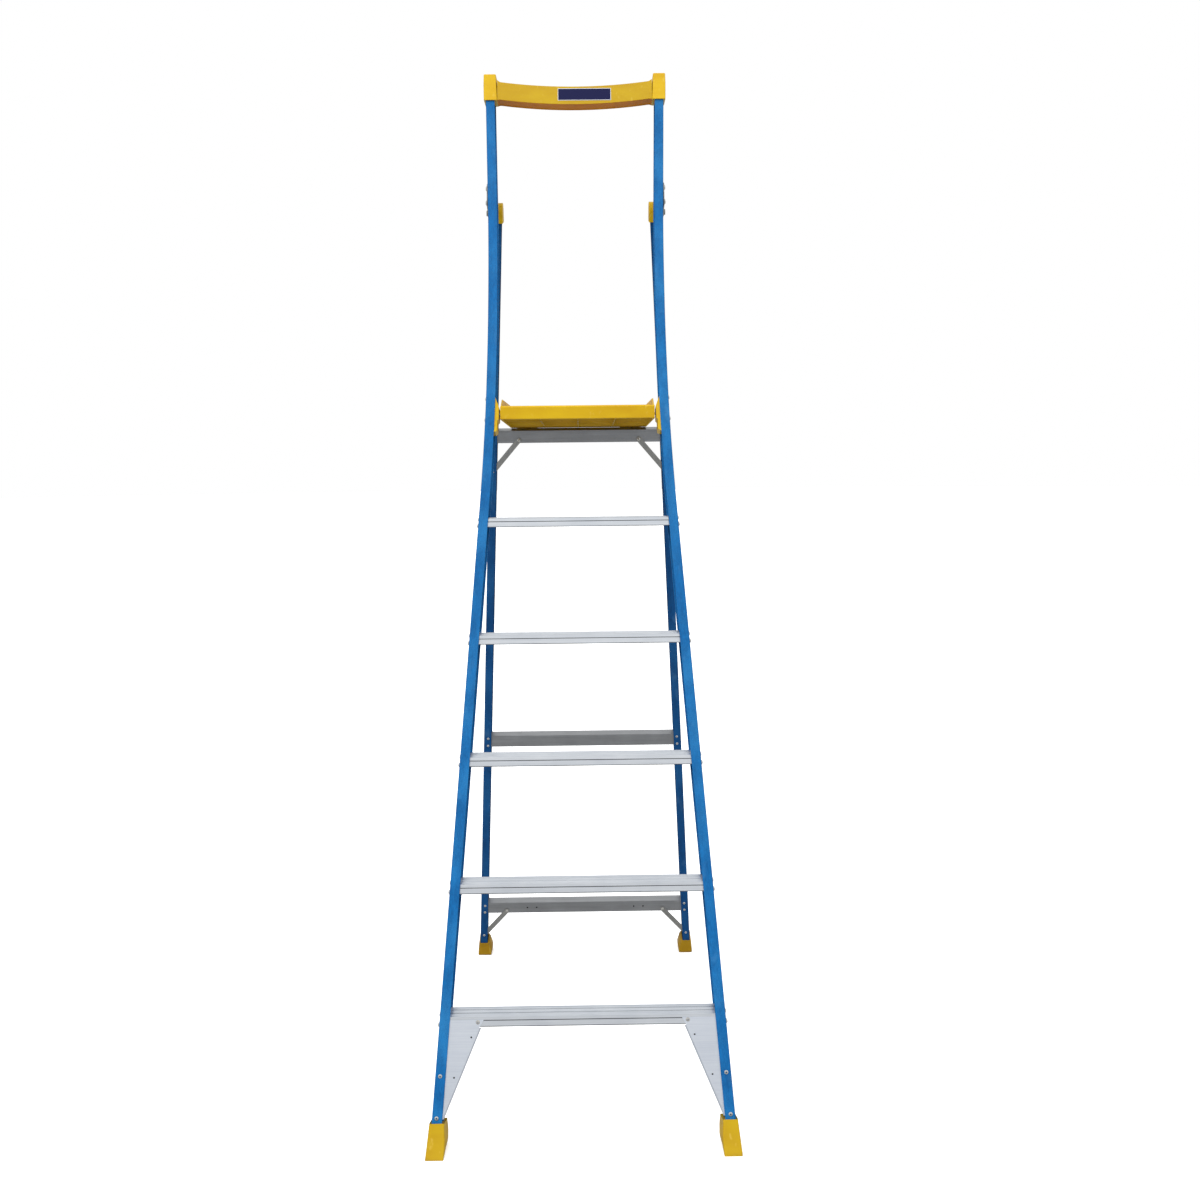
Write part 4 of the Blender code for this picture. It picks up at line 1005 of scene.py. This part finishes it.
# ------------ rear bars and braces
# Three channels folded from mill-finish aluminium sheet tie the rear legs together, flanges to
# the back, and flat bars brace the upper and lower ones. Each end has two rivets through the
# leg's front flange; the lower one keeps four holes from its punching.
mill = finish("mill_aluminium", rolled_aluminium(
    0.6, tint(172, 174, 177), tint(142, 144, 146), (0.02, 1.0, 1.0), 0.36, 0.18))
bar_mill = finish("brace_aluminium", rolled_aluminium(
    0.6, tint(178, 178, 174), tint(150, 150, 148), (1.0, 1.0, 0.08), 0.38, 0.16))
BAR_HOLES, BAR_HOLE, BAR_PLUG = (-0.1844, -0.1546, 0.1574, 0.1873), 0.0028, 0.0027
END_RIVETS, END_INSET, TIP_INSET = (-0.0125, 0.0115), 0.0132, 0.0075
for level in ("upper", "middle", "lower"):
    node = "crossbar_" + level
    low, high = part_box(node)
    bar = from_model(node)
    soften(bar, 0.0018, 4, 50, lambda e: e.calc_length() > 0.1 and e.calc_face_angle_signed() > 0)
    if level == "lower":
        middle = REAR.inverted() @ ((low + high) / 2)
        bores = [facing(REAR @ Vector((x, middle.y, middle.z)), REAR_FACE) for x in BAR_HOLES]
        drilled(bar, bores, BAR_HOLE, 0.060)
        front = min((REAR.inverted() @ v.co).y for v in frame["nodes"][node].data.vertices)
        plugs = bmesh.new()
        for x in BAR_HOLES:
            turned(plugs, plug_shape(BAR_PLUG),
                   facing(REAR @ Vector((x, front + 0.0005, middle.z)), REAR_FACE), 16)
        # Near-black plugs: painted shade in the bar's four holes.
        piece("rear_bar_plugs", plugs, hole_shade_dark, "rear_frame")
    piece("rear_bar_" + level, bar, mill, "rear_frame", [node])
    ends = bmesh.new()
    middle = REAR.inverted() @ ((low + high) / 2)
    for step in END_RIVETS:
        s = middle.z + step
        run = (LEG_RUN[1][0] - LEG_RUN[0][0]) / (LEG_RUN[1][1] - LEG_RUN[0][1])
        x = LEG_RUN[0][0] + run * (s - LEG_RUN[0][1]) - END_INSET
        set_rivet(ends, 0.0039, 0.0017,
                  facing(REAR @ Vector((x, -LEG_DEPTH / 2, s)), REAR_FACE), 18)
    for name, side, heads in (("right", 1, ends.copy()), ("left", -1, ends)):
        piece(f"rear_bar_rivets_{level}_{name}", heads, rivet_and_bore_shade, "rear_frame",
              side=side)
for level in ("upper", "lower"):
    for name, side in SIDES:
        node = f"brace_{level}_{name}"
        flat = soften(from_model(node), 0.0004, 2, 50)
        piece(f"flat_brace_{level}_{name}", flat, bar_mill, "rear_frame", [node])
        tips = [REAR.inverted() @ v.co for v in frame["nodes"][node].data.vertices]
        front = min(tip.y for tip in tips)
        top = max(tip.z for tip in tips) - TIP_INSET
        inner = min(abs(tip.x) for tip in tips) + TIP_INSET
        heads = bmesh.new()
        set_rivet(heads, 0.0045, 0.0018, facing(REAR @ Vector((inner, front, top)), REAR_FACE), 18)
        foot_s = min(tip.z for tip in tips) + TIP_INSET
        foot_x = max(abs(tip.x) for tip in tips) - TIP_INSET
        set_rivet(heads, 0.0039, 0.0017,
                  facing(REAR @ Vector((foot_x, -LEG_DEPTH / 2, foot_s)), REAR_FACE), 18)
        piece(f"brace_rivets_{level}_{name}", heads, rivet_and_bore_shade, "rear_frame",
              side=side)


# ------------ the platform
# A yellow moulded deck on two headed pins, with a low rim along each side, low grip bars on top
# and a ribbed underside. At the back, plated catches drop behind the upper bar and hold the
# ladder open.
low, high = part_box("platform_deck")
outside = lambda edge: all(v.co.y < low.y + 0.010 or v.co.z > high.z - 0.006 for v in edge.verts)
deck = soften(from_model("platform_deck", False), 0.0018, 3, 40,
              lambda edge: edge.calc_length() > 0.2 and outside(edge))
GRIP_ROWS, GRIP_COLUMNS, GRIP_SUNK = 15, 3, 0.35
GRIP_WIDTH, GRIP_RISE, GRIP_GAP, GRIP_MARGIN, RIMS = 0.0070, 0.0011, 0.012, 0.020, 0.014
grips = bmesh.new()
across = high.x - low.x - RIMS - 2 * GRIP_MARGIN
length = (across - (GRIP_COLUMNS - 1) * GRIP_GAP) / GRIP_COLUMNS
for row in range(GRIP_ROWS):
    y = low.y + GRIP_MARGIN + (high.y - low.y - 2 * GRIP_MARGIN) * row / (GRIP_ROWS - 1)
    for column in range(GRIP_COLUMNS):
        x = (column - (GRIP_COLUMNS - 1) / 2) * (length + GRIP_GAP)
        place = (Matrix.Translation((x, y, high.z - GRIP_RISE * GRIP_SUNK))
                 @ Matrix.Diagonal((length, GRIP_WIDTH, GRIP_RISE, 1)))
        made = bmesh.ops.create_cube(grips, size=1.0, matrix=place)
        posts = [e for v in made["verts"] for e in v.link_edges
                 if abs(e.verts[0].co.z - e.verts[1].co.z) > GRIP_RISE / 2]
        bmesh.ops.bevel(grips, geom=list(set(posts)), offset=GRIP_WIDTH * 0.45, segments=3,
                        profile=0.5, affect="EDGES", material=-1)
soften(grips, 0.0003, 1, 60)
PIN_HEAD = [(0.0, 0.0), (0.0070, 0.0), (0.0075, 0.0005), (0.0075, 0.0045), (0.0070, 0.0050),
            (0.0040, 0.0050)]
piece("platform_deck_moulding", deck, yellow, "platform", ["platform_deck"])
piece("platform_grips", grips, yellow, "platform")
for name, side in SIDES:
    rim = soften(from_model("platform_rim_" + name), 0.0008, 2, 25)
    piece("platform_side_rim_" + name, rim, yellow, "platform",
          ["platform_rim_" + name])
    catch = soften(from_model("platform_catch_" + name), 0.0008, 2, 50)
    piece("platform_hook_" + name, catch, zinc, "platform",
          ["platform_catch_" + name])
    low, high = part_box("platform_pin_" + name)
    ends = sorted((abs(low.x), abs(high.x)))
    pin = bmesh.new()
    hinge = joints["platform_lift"]["pos_m"]
    reach = ends[1] - ends[0]
    turned(pin, PIN_HEAD + [(0.0040, reach - 0.0010), (0.0030, reach), (0.0, reach)],
           facing((ends[0], hinge[1], hinge[2]), (1, 0, 0)), 24)
    piece("platform_hinge_pin_" + name, pin, zinc, "platform",
          ["platform_pin_" + name], side)
